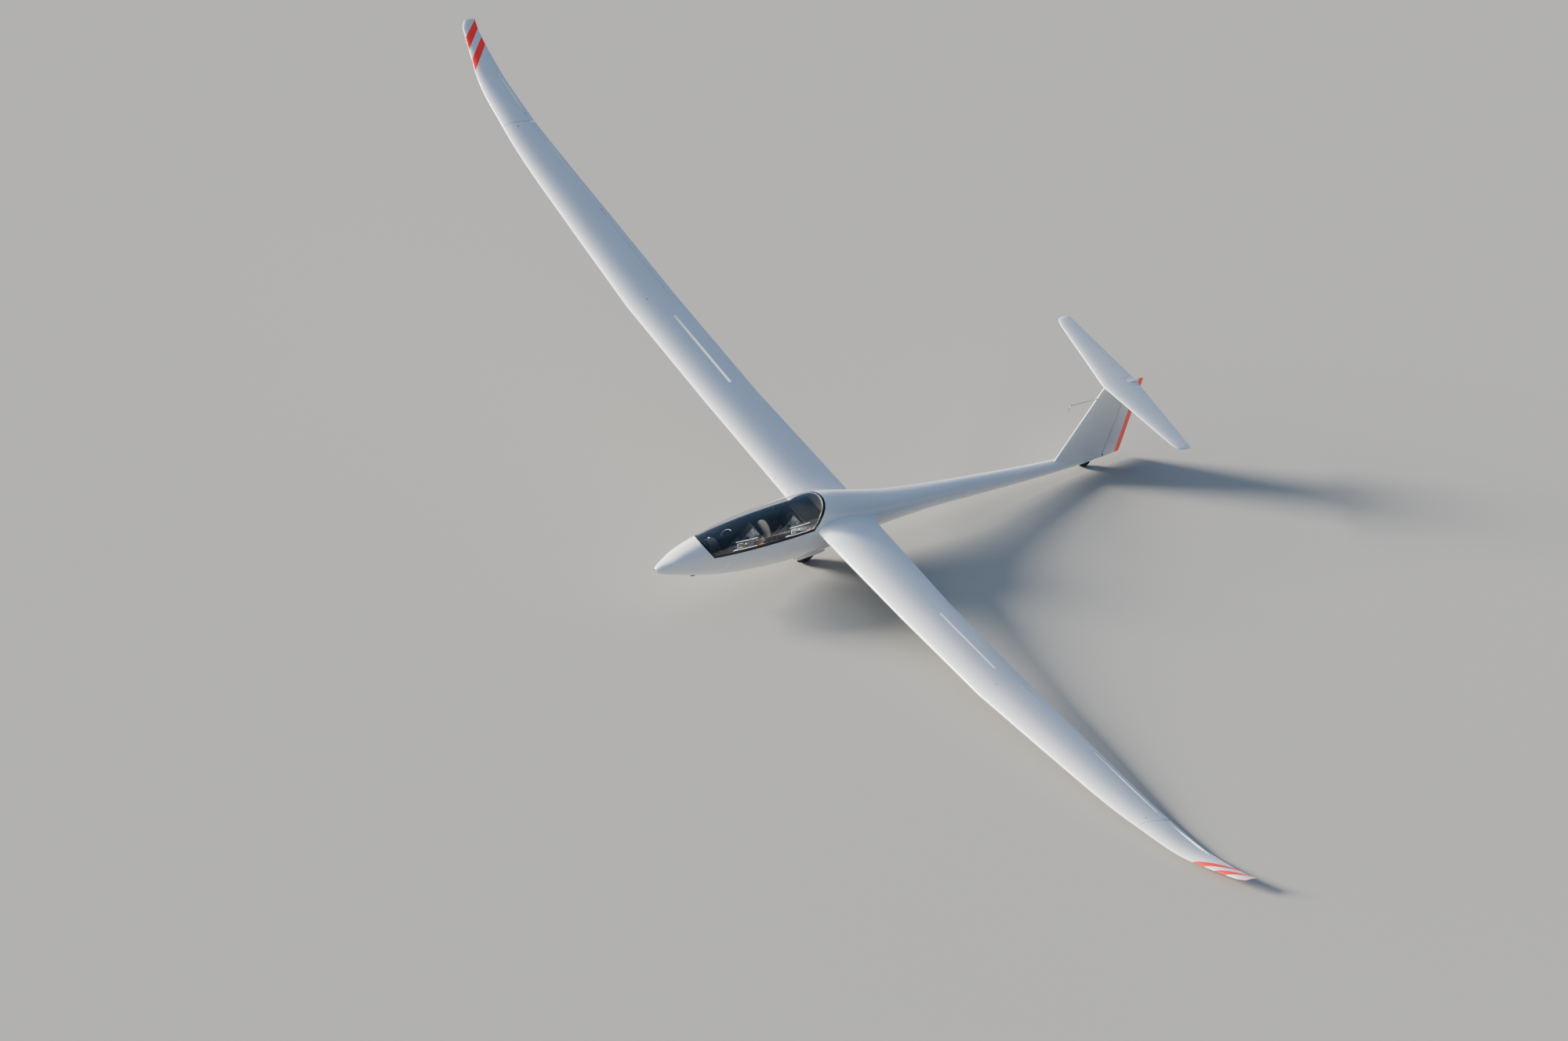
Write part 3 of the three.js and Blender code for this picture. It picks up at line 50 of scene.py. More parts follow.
SEAT = 0.0003           # gap between pieces that rest on each other
RUN = 0.006             # gap around pieces that move
HALF_SPAN = 10.0
SIDES = {"starboard": 1, "port": -1}

# Fuselage sections: station, half width, top and bottom
HULL = [
    (0.000, 0.010, 0.012, -0.008), (0.020, 0.033, 0.039, -0.030), (0.050, 0.055, 0.067, -0.052),
    (0.100, 0.081, 0.100, -0.078), (0.200, 0.121, 0.167, -0.101), (0.300, 0.158, 0.235, -0.119),
    (0.450, 0.196, 0.307, -0.144), (0.600, 0.225, 0.369, -0.172), (0.800, 0.256, 0.436, -0.208),
    (1.000, 0.285, 0.503, -0.239), (1.250, 0.311, 0.578, -0.264), (1.500, 0.331, 0.642, -0.280),
    (1.750, 0.345, 0.693, -0.286), (2.000, 0.355, 0.733, -0.284), (2.250, 0.360, 0.763, -0.274),
    (2.500, 0.361, 0.781, -0.256), (2.750, 0.360, 0.782, -0.230), (3.000, 0.352, 0.752, -0.194),
    (3.250, 0.337, 0.705, -0.146), (3.500, 0.315, 0.656, -0.092), (3.750, 0.284, 0.612, -0.040),
    (4.000, 0.251, 0.573, 0.008), (4.500, 0.208, 0.525, 0.072), (5.000, 0.175, 0.496, 0.119),
    (6.000, 0.136, 0.457, 0.162), (7.000, 0.100, 0.438, 0.208), (7.500, 0.084, 0.441, 0.243),
    (8.000, 0.064, 0.452, 0.294), (8.226, 0.050, 0.458, 0.326),
]
HULL_SQUARENESS = 2.15
HULL_POINTS = 96
NOSE_STATIONS = (0.006, 0.013, 0.02, 0.03, 0.042, 0.056, 0.075, 0.1, 0.13, 0.165, 0.2)
NOSE_CAP = 0.036
HULL_END = 8.226
SKIN = 0.024
COCKPIT_FRONT = 0.330
BULKHEAD = 2.560
DECK_END = 2.866
FLOOR = {"bulkhead_foot": 2.48, "bulkhead_bend": 0.43, "deck": 0.52, "deck_gap": 0.006}
BELOW, ABOVE = -0.4, 1.0        # heights under the belly and over the canopy
# Wells cut up into the belly, and the nose wheel's housing: front, rear, half width, bottom, top
WELLS = {"main": (2.640, 3.170, 0.112, BELOW, 0.05), "nose": (0.690, 0.934, 0.038, BELOW, -0.082),
         "tail": (7.858, 8.102, 0.037, 0.1, 0.424)}
NOSE_HOUSING = (0.650, 0.970, 0.052, BELOW, -0.068)

# Canopy, in side view
SILL_FRONT = (0.850, 0.229)
SILL_REAR = (2.570, 0.440)
BOW_TOP = (0.640, 0.423)
ARCH_TOP = (2.840, 0.797)
CANOPY_GAP = 0.006
FRAME_WIDTH = 0.034
FRAME_DEPTH = 0.020
GLASS_THICKNESS = 0.004
SILL_SLOPE = (SILL_REAR[1] - SILL_FRONT[1]) / (SILL_REAR[0] - SILL_FRONT[0])
CANOPY_HINGE = {"stations": (1.5, 2.3), "half": 0.008, "floor": -0.012}
WINDOWS = {
    "front": {"high": ((1.198, 0.432), (1.549, 0.476)), "low": ((1.209, 0.325), (1.550, 0.364)),
              "from": 1.222, "to": 1.300, "pane": 1.42, "knob": 1.358},
    "rear": {"high": ((2.119, 0.545), (2.467, 0.579)), "low": ((2.131, 0.431), (2.479, 0.466)),
             "from": 2.145, "to": 2.223, "pane": 2.34, "knob": 2.283},
}

# Wing rows: distance out, leading edge, trailing edge, height of the leading edge, thickness by chord
WING = [
    (0.400, 2.640, 3.732, 0.409, 0.155), (2.500, 2.518, 3.504, 0.606, 0.152),
    (4.505, 2.420, 3.372, 0.815, 0.148), (6.000, 2.425, 3.266, 1.0135, 0.145),
    (8.130, 2.512, 3.120, 1.297, 0.140), (9.150, 2.667, 3.120, 1.471, 0.135),
    (9.400, 2.735, 3.113, 1.547, 0.130), (9.600, 2.785, 3.108, 1.612, 0.125),
    (9.800, 2.835, 3.112, 1.683, 0.120), (9.930, 2.876, 3.132, 1.732, 0.100),
    (10.00, 2.945, 3.147, 1.756, 0.050),
]
WING_INCIDENCE = math.radians(1.5)
WING_CAMBER = 0.028
WING_ROOT = 0.400
WING_SEAM = 8.130
EDGE = 0.0016           # half thickness of a trailing edge
FOIL_POINTS = 34
SMOOTH_FROM = 6.0
FAIRING = {"width": 0.2, "lead": 0.06, "trail": 0.3, "thick": 0.11,
           "steps": (0.0, 0.2, 0.24, 0.27, 0.295, 0.315, 0.335, 0.352, 0.368, 0.382, 0.392, WING_ROOT)}

# Red stripes near each wing tip: plan points of each stripe's inner and outer edge
STRIPES = [
    (((2.677, 9.186), (3.108, 9.586)), ((2.725, 9.375), (3.110, 9.715))),
    (((2.770, 9.538), (3.100, 9.830)), ((2.818, 9.732), (3.140, 9.985))),
]

# Ailerons: each hinge line's ends as distance out and station, the lugs' distances out, the room at the ends
AILERONS = {
    "inner": {"from": (4.516, 3.250), "to": (8.116, 3.036), "lugs": (4.70, 6.30, 7.95), "clear": (RUN, 0.06)},
    "outer": {"from": (8.142, 3.036), "to": (9.140, 3.055), "lugs": (8.30, 9.00), "clear": (0.06, RUN)},
}
# A hinge's lugs and its rod, and the airbrakes in their slots
HINGE = {"shy": 0.0004, "lug": 0.003, "room": 0.005, "radius": 0.011, "wall": 0.0015, "ahead": 0.02,
         "pin": 0.0032, "bore": 0.0039, "reach": 0.4, "deep": 0.2}
BRAKE = {"from": 2.7, "to": 4.1, "chordwise": 0.6, "slope": 0.11, "cap": 0.046, "slot": 0.015, "deep": 0.095,
         "above": 0.06, "holes": 11}

# Fin and rudder rows: height, leading edge, trailing edge, thickness by chord
FIN = [(0.300, 7.300, 8.602, 0.088), (0.441, 7.350, 8.600, 0.084), (1.100, 7.580, 8.570, 0.100),
       (1.773, 7.816, 8.534, 0.110)]
FIN_TOP = 1.746
RUDDER_HINGE = 8.270
RUDDER_FOOT = 0.338
RUDDER_HEEL = 0.374
# The red band along the rudder's trailing edge, in side view: its front line and its rear line
RUDDER_BAND = (((8.508, 0.360), (8.441, 1.773)), ((8.80, 0.360), (8.80, 1.773)))

# Tailplane rows: distance out, leading edge, trailing edge, thickness by chord
STAB = [(0.0, 7.785, 8.398, 0.105), (1.400, 8.010, 8.300, 0.105), (1.500, 8.044, 8.293, 0.100),
        (1.545, 8.082, 8.289, 0.080), (1.565, 8.140, 8.285, 0.040)]
STAB_HEIGHT = 1.752
ELEVATOR_HINGE = 8.222
ELEVATOR_FROM = 0.096
ELEVATOR_TO = 1.496

MAIN_WHEEL = Vector((2.900, 0.0, -0.290))
TAIL_WHEEL = Vector((7.980, 0.0, 0.305))

# The photograph's view, given on the level airframe
CAMERA = {"aim": (2.249, 0.0, 0.432), "bearing": 41.658, "height": 35.333, "roll": 20.679,
          "distance": 291.5, "lens": 462.4}


# Where the level airframe stands in the row

def joint(name):
    """The record's entry for a joint."""
    return next(j for j in frame["joints"] if j["name"] == name)


def basis(first, second):
    """Rotation whose x runs along the first direction, with the second in its x-y plane."""
    x = first.normalized()
    z = x.cross(second).normalized()
    return Matrix((x, z.cross(x), z)).transposed()


across = Vector(joint("main_wheel_turn")["axis"])
main_place = Vector(joint("main_wheel_turn")["pos_m"])
tail_place = Vector(joint("tail_wheel_turn")["pos_m"])
turn = basis(tail_place - main_place, across) @ basis(TAIL_WHEEL - MAIN_WHEEL, Vector((0, 1, 0))).transposed()
PARKED = Matrix.Translation(main_place - turn @ MAIN_WHEEL) @ turn.to_4x4()


# Reading the tables

def along(table, place, column):
    """A column's value at a place, in straight steps between rows."""
    low, high = next(((a, b) for a, b in zip(table, table[1:]) if place <= b[0]), table[-2:])
    share = (place - low[0]) / (high[0] - low[0])
    return low[column] + share * (high[column] - low[column])


def smoothly(table, place, column):
    """A column's value at a place, on one smooth curve through the rows."""
    i = max(k for k in range(len(table) - 1) if k == 0 or table[k][0] <= place)
    slopes = [(b[column] - a[column]) / (b[0] - a[0]) for a, b in zip(table, table[1:])]

    def lean(k):
        if k == 0 or k == len(table) - 1:
            return slopes[min(k, len(slopes) - 1)]
        before = table[k][0] - table[k - 1][0]
        after = table[k + 1][0] - table[k][0]
        return (slopes[k - 1] * after + slopes[k] * before) / (before + after)

    low, high = table[i], table[i + 1]
    step = high[0] - low[0]
    t = (place - low[0]) / step
    return ((2 * t ** 3 - 3 * t ** 2 + 1) * low[column] + (t ** 3 - 2 * t ** 2 + t) * step * lean(i)
            + (3 * t ** 2 - 2 * t ** 3) * high[column] + (t ** 3 - t ** 2) * step * lean(i + 1))


def row(table, place, read=along):
    """All the columns of a table at a place."""
    return [read(table, place, column) for column in range(1, len(table[0]))]


def steps(low, high, length):
    """Places from low to high, no further apart than length."""
    count = max(1, math.ceil((high - low) / length))
    return [low + (high - low) * i / count for i in range(count + 1)]


def squarer(value, power):
    """A sine or cosine brought nearer to 1 or -1, for sections between an ellipse and a box."""
    return math.copysign(abs(value) ** power, value)


def frame_at(place, *axes):
    """A frame at a place, from its three axes."""
    return Matrix.Translation(place) @ Matrix(axes).transposed().to_4x4()


# Modelling moves

def only(piece):
    """This piece alone is selected and active."""
    bpy.ops.object.select_all(action="DESELECT")
    piece.select_set(True)
    bpy.context.view_layer.objects.active = piece
    return piece


def name_piece(piece, name):
    """Gives an object and its mesh the same name."""
    piece.name = name
    piece.data.name = name
    return piece


def loft(name, rings, closed=True):
    """A skin over rings of points: a circle laid on the first ring and extruded from ring to ring."""
    count = len(rings[0])
    bpy.ops.object.select_all(action="DESELECT")
    bpy.ops.mesh.primitive_circle_add(vertices=count, radius=1)
    piece = name_piece(bpy.context.object, name)
    bpy.ops.object.mode_set(mode="EDIT")
    mesh = bmesh.from_edit_mesh(piece.data)
    mesh.verts.ensure_lookup_table()
    for vert, place in zip(mesh.verts, rings[0]):
        vert.co = place
    before = list(mesh.verts)
    first = before
    for ring in rings[1:]:
        known = {vert.co.to_tuple(7): i for i, vert in enumerate(before)}
        bpy.ops.mesh.extrude_edges_move()
        mesh.verts.ensure_lookup_table()
        fresh = [None] * count
        for vert in mesh.verts[-count:]:
            fresh[known[vert.co.to_tuple(7)]] = vert
        for vert, place in zip(fresh, ring):
            vert.co = place
        before = fresh
    if closed:
        bpy.ops.mesh.edge_face_add()
        bpy.ops.mesh.select_all(action="DESELECT")
        for vert in first:
            vert.select = True
        mesh.select_flush(True)
        bpy.ops.mesh.edge_face_add()
    bpy.ops.mesh.select_all(action="SELECT")
    bpy.ops.mesh.normals_make_consistent(inside=False)
    bpy.ops.object.mode_set(mode="OBJECT")
    return piece


def block(low, high, matrix=Matrix.Identity(4)):
    """Box between two corners, in a frame of its own."""
    bpy.ops.object.select_all(action="DESELECT")
    bpy.ops.mesh.primitive_cube_add(size=1)
    piece = bpy.context.object
    middle = [(a + b) / 2 for a, b in zip(low, high)]
    size = [b - a for a, b in zip(low, high)]
    piece.matrix_world = matrix @ Matrix.Translation(middle) @ Matrix.Diagonal((*size, 1))
    bpy.ops.object.transform_apply()
    return piece


def rod(start, end, radius, end_radius=None, sides=24):
    """Round bar between two points."""
    start, end = Vector(start), Vector(end)
    bpy.ops.object.select_all(action="DESELECT")
    bpy.ops.mesh.primitive_cone_add(vertices=sides, radius1=radius, depth=(end - start).length,
                                    radius2=radius if end_radius is None else end_radius)
    piece = bpy.context.object
    aimed = (end - start).to_track_quat("Z", "Y").to_matrix().to_4x4()
    piece.matrix_world = Matrix.Translation((start + end) / 2) @ aimed
    bpy.ops.object.transform_apply()
    return piece


def cross_rod(x, z, low, high, radius, sides):
    """Round bar across the airframe, from y = low to y = high."""
    return rod((x, low, z), (x, high, z), radius, sides=sides)


def side_prism(name, outline, low, high):
    """Prism with an outline in side view, from y = low to y = high."""
    return loft(name, [[Vector((x, y, z)) for x, z in outline] for y in (low, high)])


def front_prism(name, outline, low, high):
    """Prism with an outline seen from ahead, from x = low to x = high."""
    return loft(name, [[Vector((x, y, z)) for y, z in outline] for x in (low, high)])


def combine(piece, tool, operation="DIFFERENCE", keep=False):
    """Cuts, joins or crosses a piece with a tool by a Boolean modifier that is applied."""
    only(piece)
    modifier = piece.modifiers.new("combine", "BOOLEAN")
    modifier.object = tool
    modifier.operation = operation
    modifier.solver = "EXACT"
    modifier.material_mode = "TRANSFER"
    bpy.ops.object.modifier_apply(modifier=modifier.name)
    if not keep:
        bpy.data.objects.remove(tool)
    return piece


def copy_of(piece, name):
    """A copy of a piece with a mesh of its own."""
    only(piece)
    bpy.ops.object.duplicate()
    return name_piece(bpy.context.object, name)


def mirrored(piece, name):
    """A copy of a piece on the other side of the middle plane."""
    twin = copy_of(piece, name)
    twin.scale.y = -1
    bpy.ops.object.transform_apply()
    bpy.ops.object.mode_set(mode="EDIT")
    bpy.ops.mesh.select_all(action="SELECT")
    bpy.ops.mesh.normals_make_consistent(inside=False)
    bpy.ops.object.mode_set(mode="OBJECT")
    return twin


def joined(name, *pieces):
    """Several meshes as one piece."""
    bpy.ops.object.select_all(action="DESELECT")
    for piece in pieces:
        piece.select_set(True)
    bpy.context.view_layer.objects.active = pieces[0]
    bpy.ops.object.join()
    return name_piece(pieces[0], name)


def subdivided(piece):
    """One step of subdivision, applied."""
    only(piece)
    modifier = piece.modifiers.new("smooth", "SUBSURF")
    modifier.levels = 1
    modifier.render_levels = 1
    bpy.ops.object.modifier_apply(modifier=modifier.name)
    return piece


def rounded(piece, width, segments=2, angle=35):
    """Rounds a piece's sharp edges."""
    only(piece)
    modifier = piece.modifiers.new("round", "BEVEL")
    modifier.width = width
    modifier.segments = segments
    modifier.limit_method = "ANGLE"
    modifier.angle_limit = math.radians(angle)
    bpy.ops.object.modifier_apply(modifier=modifier.name)
    return piece


def turned(name, profile, start, axis, sides=32):
    """A turned shape: circles of (distance, radius) along an axis from its start."""
    start, axis = Vector(start), Vector(axis).normalized()
    right = axis.orthogonal().normalized()
    up = axis.cross(right)
    angles = [2 * math.pi * i / sides for i in range(sides)]
    return loft(name, [[start + axis * d + (right * math.cos(a) + up * math.sin(a)) * r for a in angles]
                       for d, r in profile])


def spun(name, outline, middle, count):
    """A closed outline of (radius, distance along y), spun about the y axis through its middle."""
    middle = Vector(middle)
    piece = loft(name, [[middle + Vector((0, y, r)) for r, y in outline]], closed=False)
    bpy.ops.object.mode_set(mode="EDIT")
    bpy.ops.mesh.select_all(action="SELECT")
    bpy.ops.mesh.spin(steps=count, angle=2 * math.pi, center=middle, axis=(0, 1, 0))
    bpy.ops.mesh.select_all(action="SELECT")
    bpy.ops.mesh.remove_doubles(threshold=1e-5)
    bpy.ops.mesh.normals_make_consistent(inside=False)
    bpy.ops.object.mode_set(mode="OBJECT")
    return piece


def curve_through(points, count):
    """Evenly numbered places on one smooth curve through the points."""
    points = [Vector(point) for point in points]
    last = len(points) - 1
    line = []
    for i in range(count + 1):
        place = min(i * last / count, last - 1e-6)
        k = int(place)
        t = place - k
        a, b, c, d = points[max(k - 1, 0)], points[k], points[k + 1], points[min(k + 2, last)]
        line.append((2 * b + (c - a) * t + (2 * a - 5 * b + 4 * c - d) * t ** 2
                     + (3 * b - a - 3 * c + d) * t ** 3) / 2)
    return line


def circle(radius, sides=16):
    """Section of a round bar."""
    return [(radius * math.cos(2 * math.pi * i / sides), radius * math.sin(2 * math.pi * i / sides))
            for i in range(sides)]


def flat_band(width, thick):
    """Section of a strap or strip with rounded edges."""
    w, t = width / 2, thick / 2
    return [(w - t, -t), (w, 0), (w - t, t), (0, t), (t - w, t), (-w, 0), (t - w, -t), (0, -t)]


def sweep(name, line, section, side=(0, 1, 0)):
    """A section of (sideways, upwards) points carried along a line; it may change on the way."""
    rings = []
    last = len(line) - 1
    for i, place in enumerate(line):
        ahead = (line[min(i + 1, last)] - line[max(i - 1, 0)]).normalized()
        right = Vector(side)
        right = (right - ahead * right.dot(ahead)).normalized()
        up = ahead.cross(right)
        outline = section(i / last) if callable(section) else section
        rings.append([place + right * a + up * b for a, b in outline])
    return loft(name, rings)


def finished(piece, body, nodes=(), angle=32):
    """Sets a piece down in the parked attitude, on its body, in place of the nodes that it stands for."""
    only(piece)
    piece.matrix_world = PARKED @ piece.matrix_world
    bpy.ops.object.transform_apply()
    bpy.ops.object.shade_smooth_by_angle(angle=math.radians(angle))
    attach(piece, body)
    if nodes:
        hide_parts(*nodes)
    return piece


def pair(piece, name, body, node=None):
    """Finishes a starboard piece and its mirror image to port. In the names, {} stands for the side."""
    twin = mirrored(piece, name.format("port"))
    name_piece(piece, name.format("starboard"))
    for side, half in (("starboard", piece), ("port", twin)):
        finished(half, body.format(side), (node.format(side),) if node else ())


def paint_band(piece, first, second, upright, material):
    """Cuts a mesh along two planes and paints what lies between. A plane holds two points and a direction."""
    normals = []
    only(piece)
    bpy.ops.object.mode_set(mode="EDIT")
    for start, end in (first, second):
        normal = (end - start).cross(upright).normalized()
        normals.append((start, normal))
        bpy.ops.mesh.select_all(action="SELECT")
        bpy.ops.mesh.bisect(plane_co=start, plane_no=normal)
    bpy.ops.object.mode_set(mode="OBJECT")
    if material.name not in piece.data.materials:
        piece.data.materials.append(material)
    slot = piece.data.materials.find(material.name)
    (start, out), (end, back) = normals
    for face in piece.data.polygons:
        if (face.center - start).dot(out) * (face.center - end).dot(back) < 0:
            face.material_index = slot


def paint(piece, *materials):
    """Puts materials on a piece, in the order of its slots."""
    piece.data.materials.clear()
    for material in materials:
        piece.data.materials.append(material)
    return piece


# Materials: shared effects

COLOUR = "NodeSocketColor"
NUMBER = "NodeSocketFloat"


def effect(name, inputs, **outputs):
    """An empty node group with named sockets, and its two end nodes."""
    group = bpy.data.node_groups.new(name, "ShaderNodeTree")
    for title, value in inputs.items():
        kind = COLOUR if isinstance(value, tuple) else NUMBER
        group.interface.new_socket(title, in_out="INPUT", socket_type=kind).default_value = value
    for title, kind in outputs.items():
        group.interface.new_socket(title, in_out="OUTPUT", socket_type=kind)
    return group, group.nodes.new("NodeGroupInput"), group.nodes.new("NodeGroupOutput")


def add_node(tree, kind, values=None, **settings):
    """A node with its settings and the values of its inputs."""
    node = tree.nodes.new(kind)
    for name, value in settings.items():
        setattr(node, name, value)
    for socket, value in (values or {}).items():
        node.inputs[socket].default_value = value
    return node


def connect(tree, *links):
    """Links, each given as a node and its output, then a node and its input."""
    for source, output, target, place in links:
        tree.links.new(source.outputs[output], target.inputs[place])


def patches_effect():
    """Soft patches of a second colour over a first, such as dust, haze or fading."""
    group, given, result = effect(
        "patches", {"Main": (0.8, 0.8, 0.8, 1), "Patch": (0.6, 0.6, 0.6, 1), "Scale": 2.0, "Cover": 0.4},
        Color=COLOUR, Mask=NUMBER)
    place = add_node(group, "ShaderNodeTexCoord")
    cloud = add_node(group, "ShaderNodeTexNoise", {"Detail": 3, "Roughness": 0.5})
    spread = add_node(group, "ShaderNodeMapRange", {"From Min": 0.30, "From Max": 0.80},
                      interpolation_type="SMOOTHSTEP")
    cover = add_node(group, "ShaderNodeMath", operation="MULTIPLY")
    blend = add_node(group, "ShaderNodeMix", data_type="RGBA")
    connect(group, (place, "Object", cloud, "Vector"), (given, "Scale", cloud, "Scale"),
            (cloud, "Fac", spread, "Value"), (spread, "Result", cover, 0), (given, "Cover", cover, 1),
            (cover, "Value", blend, "Factor"), (given, "Main", blend, 6), (given, "Patch", blend, 7),
            (blend, 2, result, "Color"), (cover, "Value", result, "Mask"))
    return group


def grain_effect():
    """Fine moulded grain: small cells with a soft unevenness between them."""
    group, given, result = effect("grain", {"Scale": 900.0}, Height=NUMBER)
    place = add_node(group, "ShaderNodeTexCoord")
    cells = add_node(group, "ShaderNodeTexVoronoi", feature="F1")
    cloud = add_node(group, "ShaderNodeTexNoise", {"Detail": 1})
    total = add_node(group, "ShaderNodeMath", operation="ADD")
    for i, (pattern, output) in enumerate(((cells, "Distance"), (cloud, "Fac"))):
        connect(group, (place, "Object", pattern, "Vector"), (given, "Scale", pattern, "Scale"),
                (pattern, output, total, i))
    connect(group, (total, "Value", result, "Height"))
    return group


def weave_effect():
    """Threads that cross each other, as on upholstery cloth and webbing."""
    group, given, result = effect("weave", {"Threads": 500.0}, Height=NUMBER, Shade=NUMBER)
    place = add_node(group, "ShaderNodeTexCoord")
    total = add_node(group, "ShaderNodeMath", operation="MAXIMUM")
    for i, direction in enumerate(("X", "Y")):
        threads = add_node(group, "ShaderNodeTexWave", {"Distortion": 0.6}, bands_direction=direction)
        connect(group, (place, "Object", threads, "Vector"), (given, "Threads", threads, "Scale"),
                (threads, "Fac", total, i))
    worn = add_node(group, "ShaderNodeTexNoise", {"Scale": 14})
    shade = add_node(group, "ShaderNodeMapRange", {"To Min": 0.7, "To Max": 1.15})
    connect(group, (place, "Object", worn, "Vector"), (worn, "Fac", shade, "Value"),
            (total, "Value", result, "Height"), (shade, "Result", result, "Shade"))
    return group


PATCHES = patches_effect()
GRAIN = grain_effect()
WEAVE = weave_effect()


# Materials: finishes

def new_material(name, **values):
    """A material with its constant values on the shader's own sockets."""
    material = bpy.data.materials.new(name)
    material.use_nodes = True
    shader = material.node_tree.nodes["Principled BSDF"]
    for socket, value in values.items():
        shader.inputs[socket.replace("_", " ")].default_value = value
    return material, material.node_tree, shader


def use_effect(tree, group, **values):
    """Adds a node that runs one of the shared effects."""
    return add_node(tree, "ShaderNodeGroup", values, node_tree=group)


def emboss(tree, shader, pattern, output, strength, distance):
    """Fine relief from a pattern."""
    bump = add_node(tree, "ShaderNodeBump", {"Strength": strength, "Distance": distance})
    connect(tree, (pattern, output, bump, "Height"), (bump, "Normal", shader, "Normal"))


def painted(name, colour, patch, scale, cover, low, high, **values):
    """Colour with soft patches over it, and a roughness between low and high that follows them."""
    material, tree, shader = new_material(name, **values)
    tone = use_effect(tree, PATCHES, Main=(*colour, 1), Patch=(*patch, 1), Scale=scale, Cover=cover)
    spread = add_node(tree, "ShaderNodeMapRange", {"To Min": low, "To Max": high})
    connect(tree, (tone, "Color", shader, "Base Color"), (tone, "Mask", spread, "Value"),
            (spread, "Result", shader, "Roughness"))
    return material, tree, shader


def gloss_paint(name, colour, dusty, **values):
    """Polished gel coat: a clear coat over colour, faint waves in the surface, a little haze."""
    material, tree, shader = painted(name, colour, dusty, 1.7, 0.5, 0.22, 0.34,
                                     Coat_Weight=0.5, Coat_Roughness=0.05, Coat_IOR=1.5, **values)
    emboss(tree, shader, use_effect(tree, PATCHES, Scale=3.1, Cover=1.0), "Mask", 0.12, 0.002)
    return material


def plain_paint(name, colour, patch, roughness, scale=6.0, cover=0.5, **values):
    """Colour with soft patches, a roughness that follows them, and a fine grain."""
    material, tree, shader = painted(name, colour, patch, scale, cover, roughness, roughness + 0.2, **values)
    emboss(tree, shader, use_effect(tree, GRAIN, Scale=900.0), "Height", 0.12, 0.0004)
    return material


def woven(name, colour, threads, strength):
    """Cloth or webbing: a colour under a weave that is worn lighter and darker."""
    material, tree, shader = new_material(name, Roughness=0.93, Sheen_Weight=0.35, Sheen_Roughness=0.5)
    weave = use_effect(tree, WEAVE, Threads=threads)
    tone = add_node(tree, "ShaderNodeMix", {"Factor": 1.0, 6: (*colour, 1)}, data_type="RGBA",
                    blend_type="MULTIPLY")
    connect(tree, (weave, "Shade", tone, 7), (tone, 2, shader, "Base Color"))
    emboss(tree, shader, weave, "Height", strength, 0.0008)
    return material


def see_through(name, colour, ior):
    """Clear acrylic that light also passes through on its way to what lies behind."""
    material, tree, shader = new_material(
        name, Base_Color=(*colour, 1), Roughness=0.0, IOR=ior, Transmission_Weight=1.0)
    light_path = add_node(tree, "ShaderNodeLightPath")
    open_way = add_node(tree, "ShaderNodeBsdfTransparent", {"Color": (*colour, 1)})
    blend = add_node(tree, "ShaderNodeMixShader")
    connect(tree, (light_path, "Is Shadow Ray", blend, "Fac"), (shader, "BSDF", blend, 1),
            (open_way, "BSDF", blend, 2), (blend, "Shader", tree.nodes["Material Output"], "Surface"))
    return material


gelcoat = gloss_paint("white_gelcoat", (0.82, 0.83, 0.82), (0.77, 0.77, 0.75))
# The red paint glows a little by itself, though it is no lamp: painted light that keeps the stripes and the
# rudder's band bright in shade.
glowing_red_paint = gloss_paint("signal_red_paint_glowing", (0.78, 0.010, 0.003), (0.66, 0.012, 0.005),
                        Emission_Color=(1.0, 0.03, 0.01, 1), Emission_Strength=0.22)
seal_tape = plain_paint("white_seal_tape", (0.80, 0.81, 0.80), (0.74, 0.74, 0.72), 0.28, 3.0)
white_plastic = plain_paint("white_plastic", (0.85, 0.85, 0.83), (0.7, 0.7, 0.67), 0.3)
frame_black = plain_paint("canopy_rail_black", (0.012, 0.012, 0.013), (0.03, 0.03, 0.03), 0.28)
clear_glass = see_through("clear_acrylic", (0.96, 0.98, 0.985), 1.49)
interior = plain_paint("cockpit_lining", (0.008, 0.008, 0.009), (0.016, 0.016, 0.016), 0.6,
                       Specular_IOR_Level=0.12)
panel_black = plain_paint("panel_black", (0.008, 0.008, 0.009), (0.018, 0.018, 0.018), 0.45,
                          Specular_IOR_Level=0.2)
dark_rubber = plain_paint("tyre_rubber", (0.018, 0.018, 0.018), (0.11, 0.10, 0.085), 0.7, 14.0, 0.55)
skid_black = plain_paint("skid_rubber", (0.03, 0.03, 0.032), (0.14, 0.13, 0.11), 0.6, 40.0, 0.7)
alloy = plain_paint("cast_alloy", (0.58, 0.59, 0.60), (0.40, 0.40, 0.39), 0.3, 30.0, 0.6, Metallic=1.0)
steel = plain_paint("plated_steel", (0.42, 0.43, 0.44), (0.25, 0.23, 0.20), 0.32, 35.0, 0.6, Metallic=1.0)
cloth = woven("seat_cloth", (0.014, 0.017, 0.026), 260.0, 0.6)
webbing = woven("navy_webbing", (0.008, 0.02, 0.10), 420.0, 0.8)
knob_blue = plain_paint("knob_blue", (0.01, 0.05, 0.45), (0.02, 0.07, 0.3), 0.3, 20.0)
knob_green = plain_paint("knob_green", (0.01, 0.25, 0.06), (0.02, 0.2, 0.06), 0.3, 20.0)
knob_yellow = plain_paint("knob_yellow", (0.8, 0.5, 0.02), (0.6, 0.4, 0.05), 0.3, 20.0)
knob_red = plain_paint("knob_red", (0.6, 0.02, 0.015), (0.4, 0.03, 0.02), 0.3, 20.0)
display_green = plain_paint("display_green", (0.10, 0.16, 0.09), (0.06, 0.10, 0.06), 0.12, 20.0)
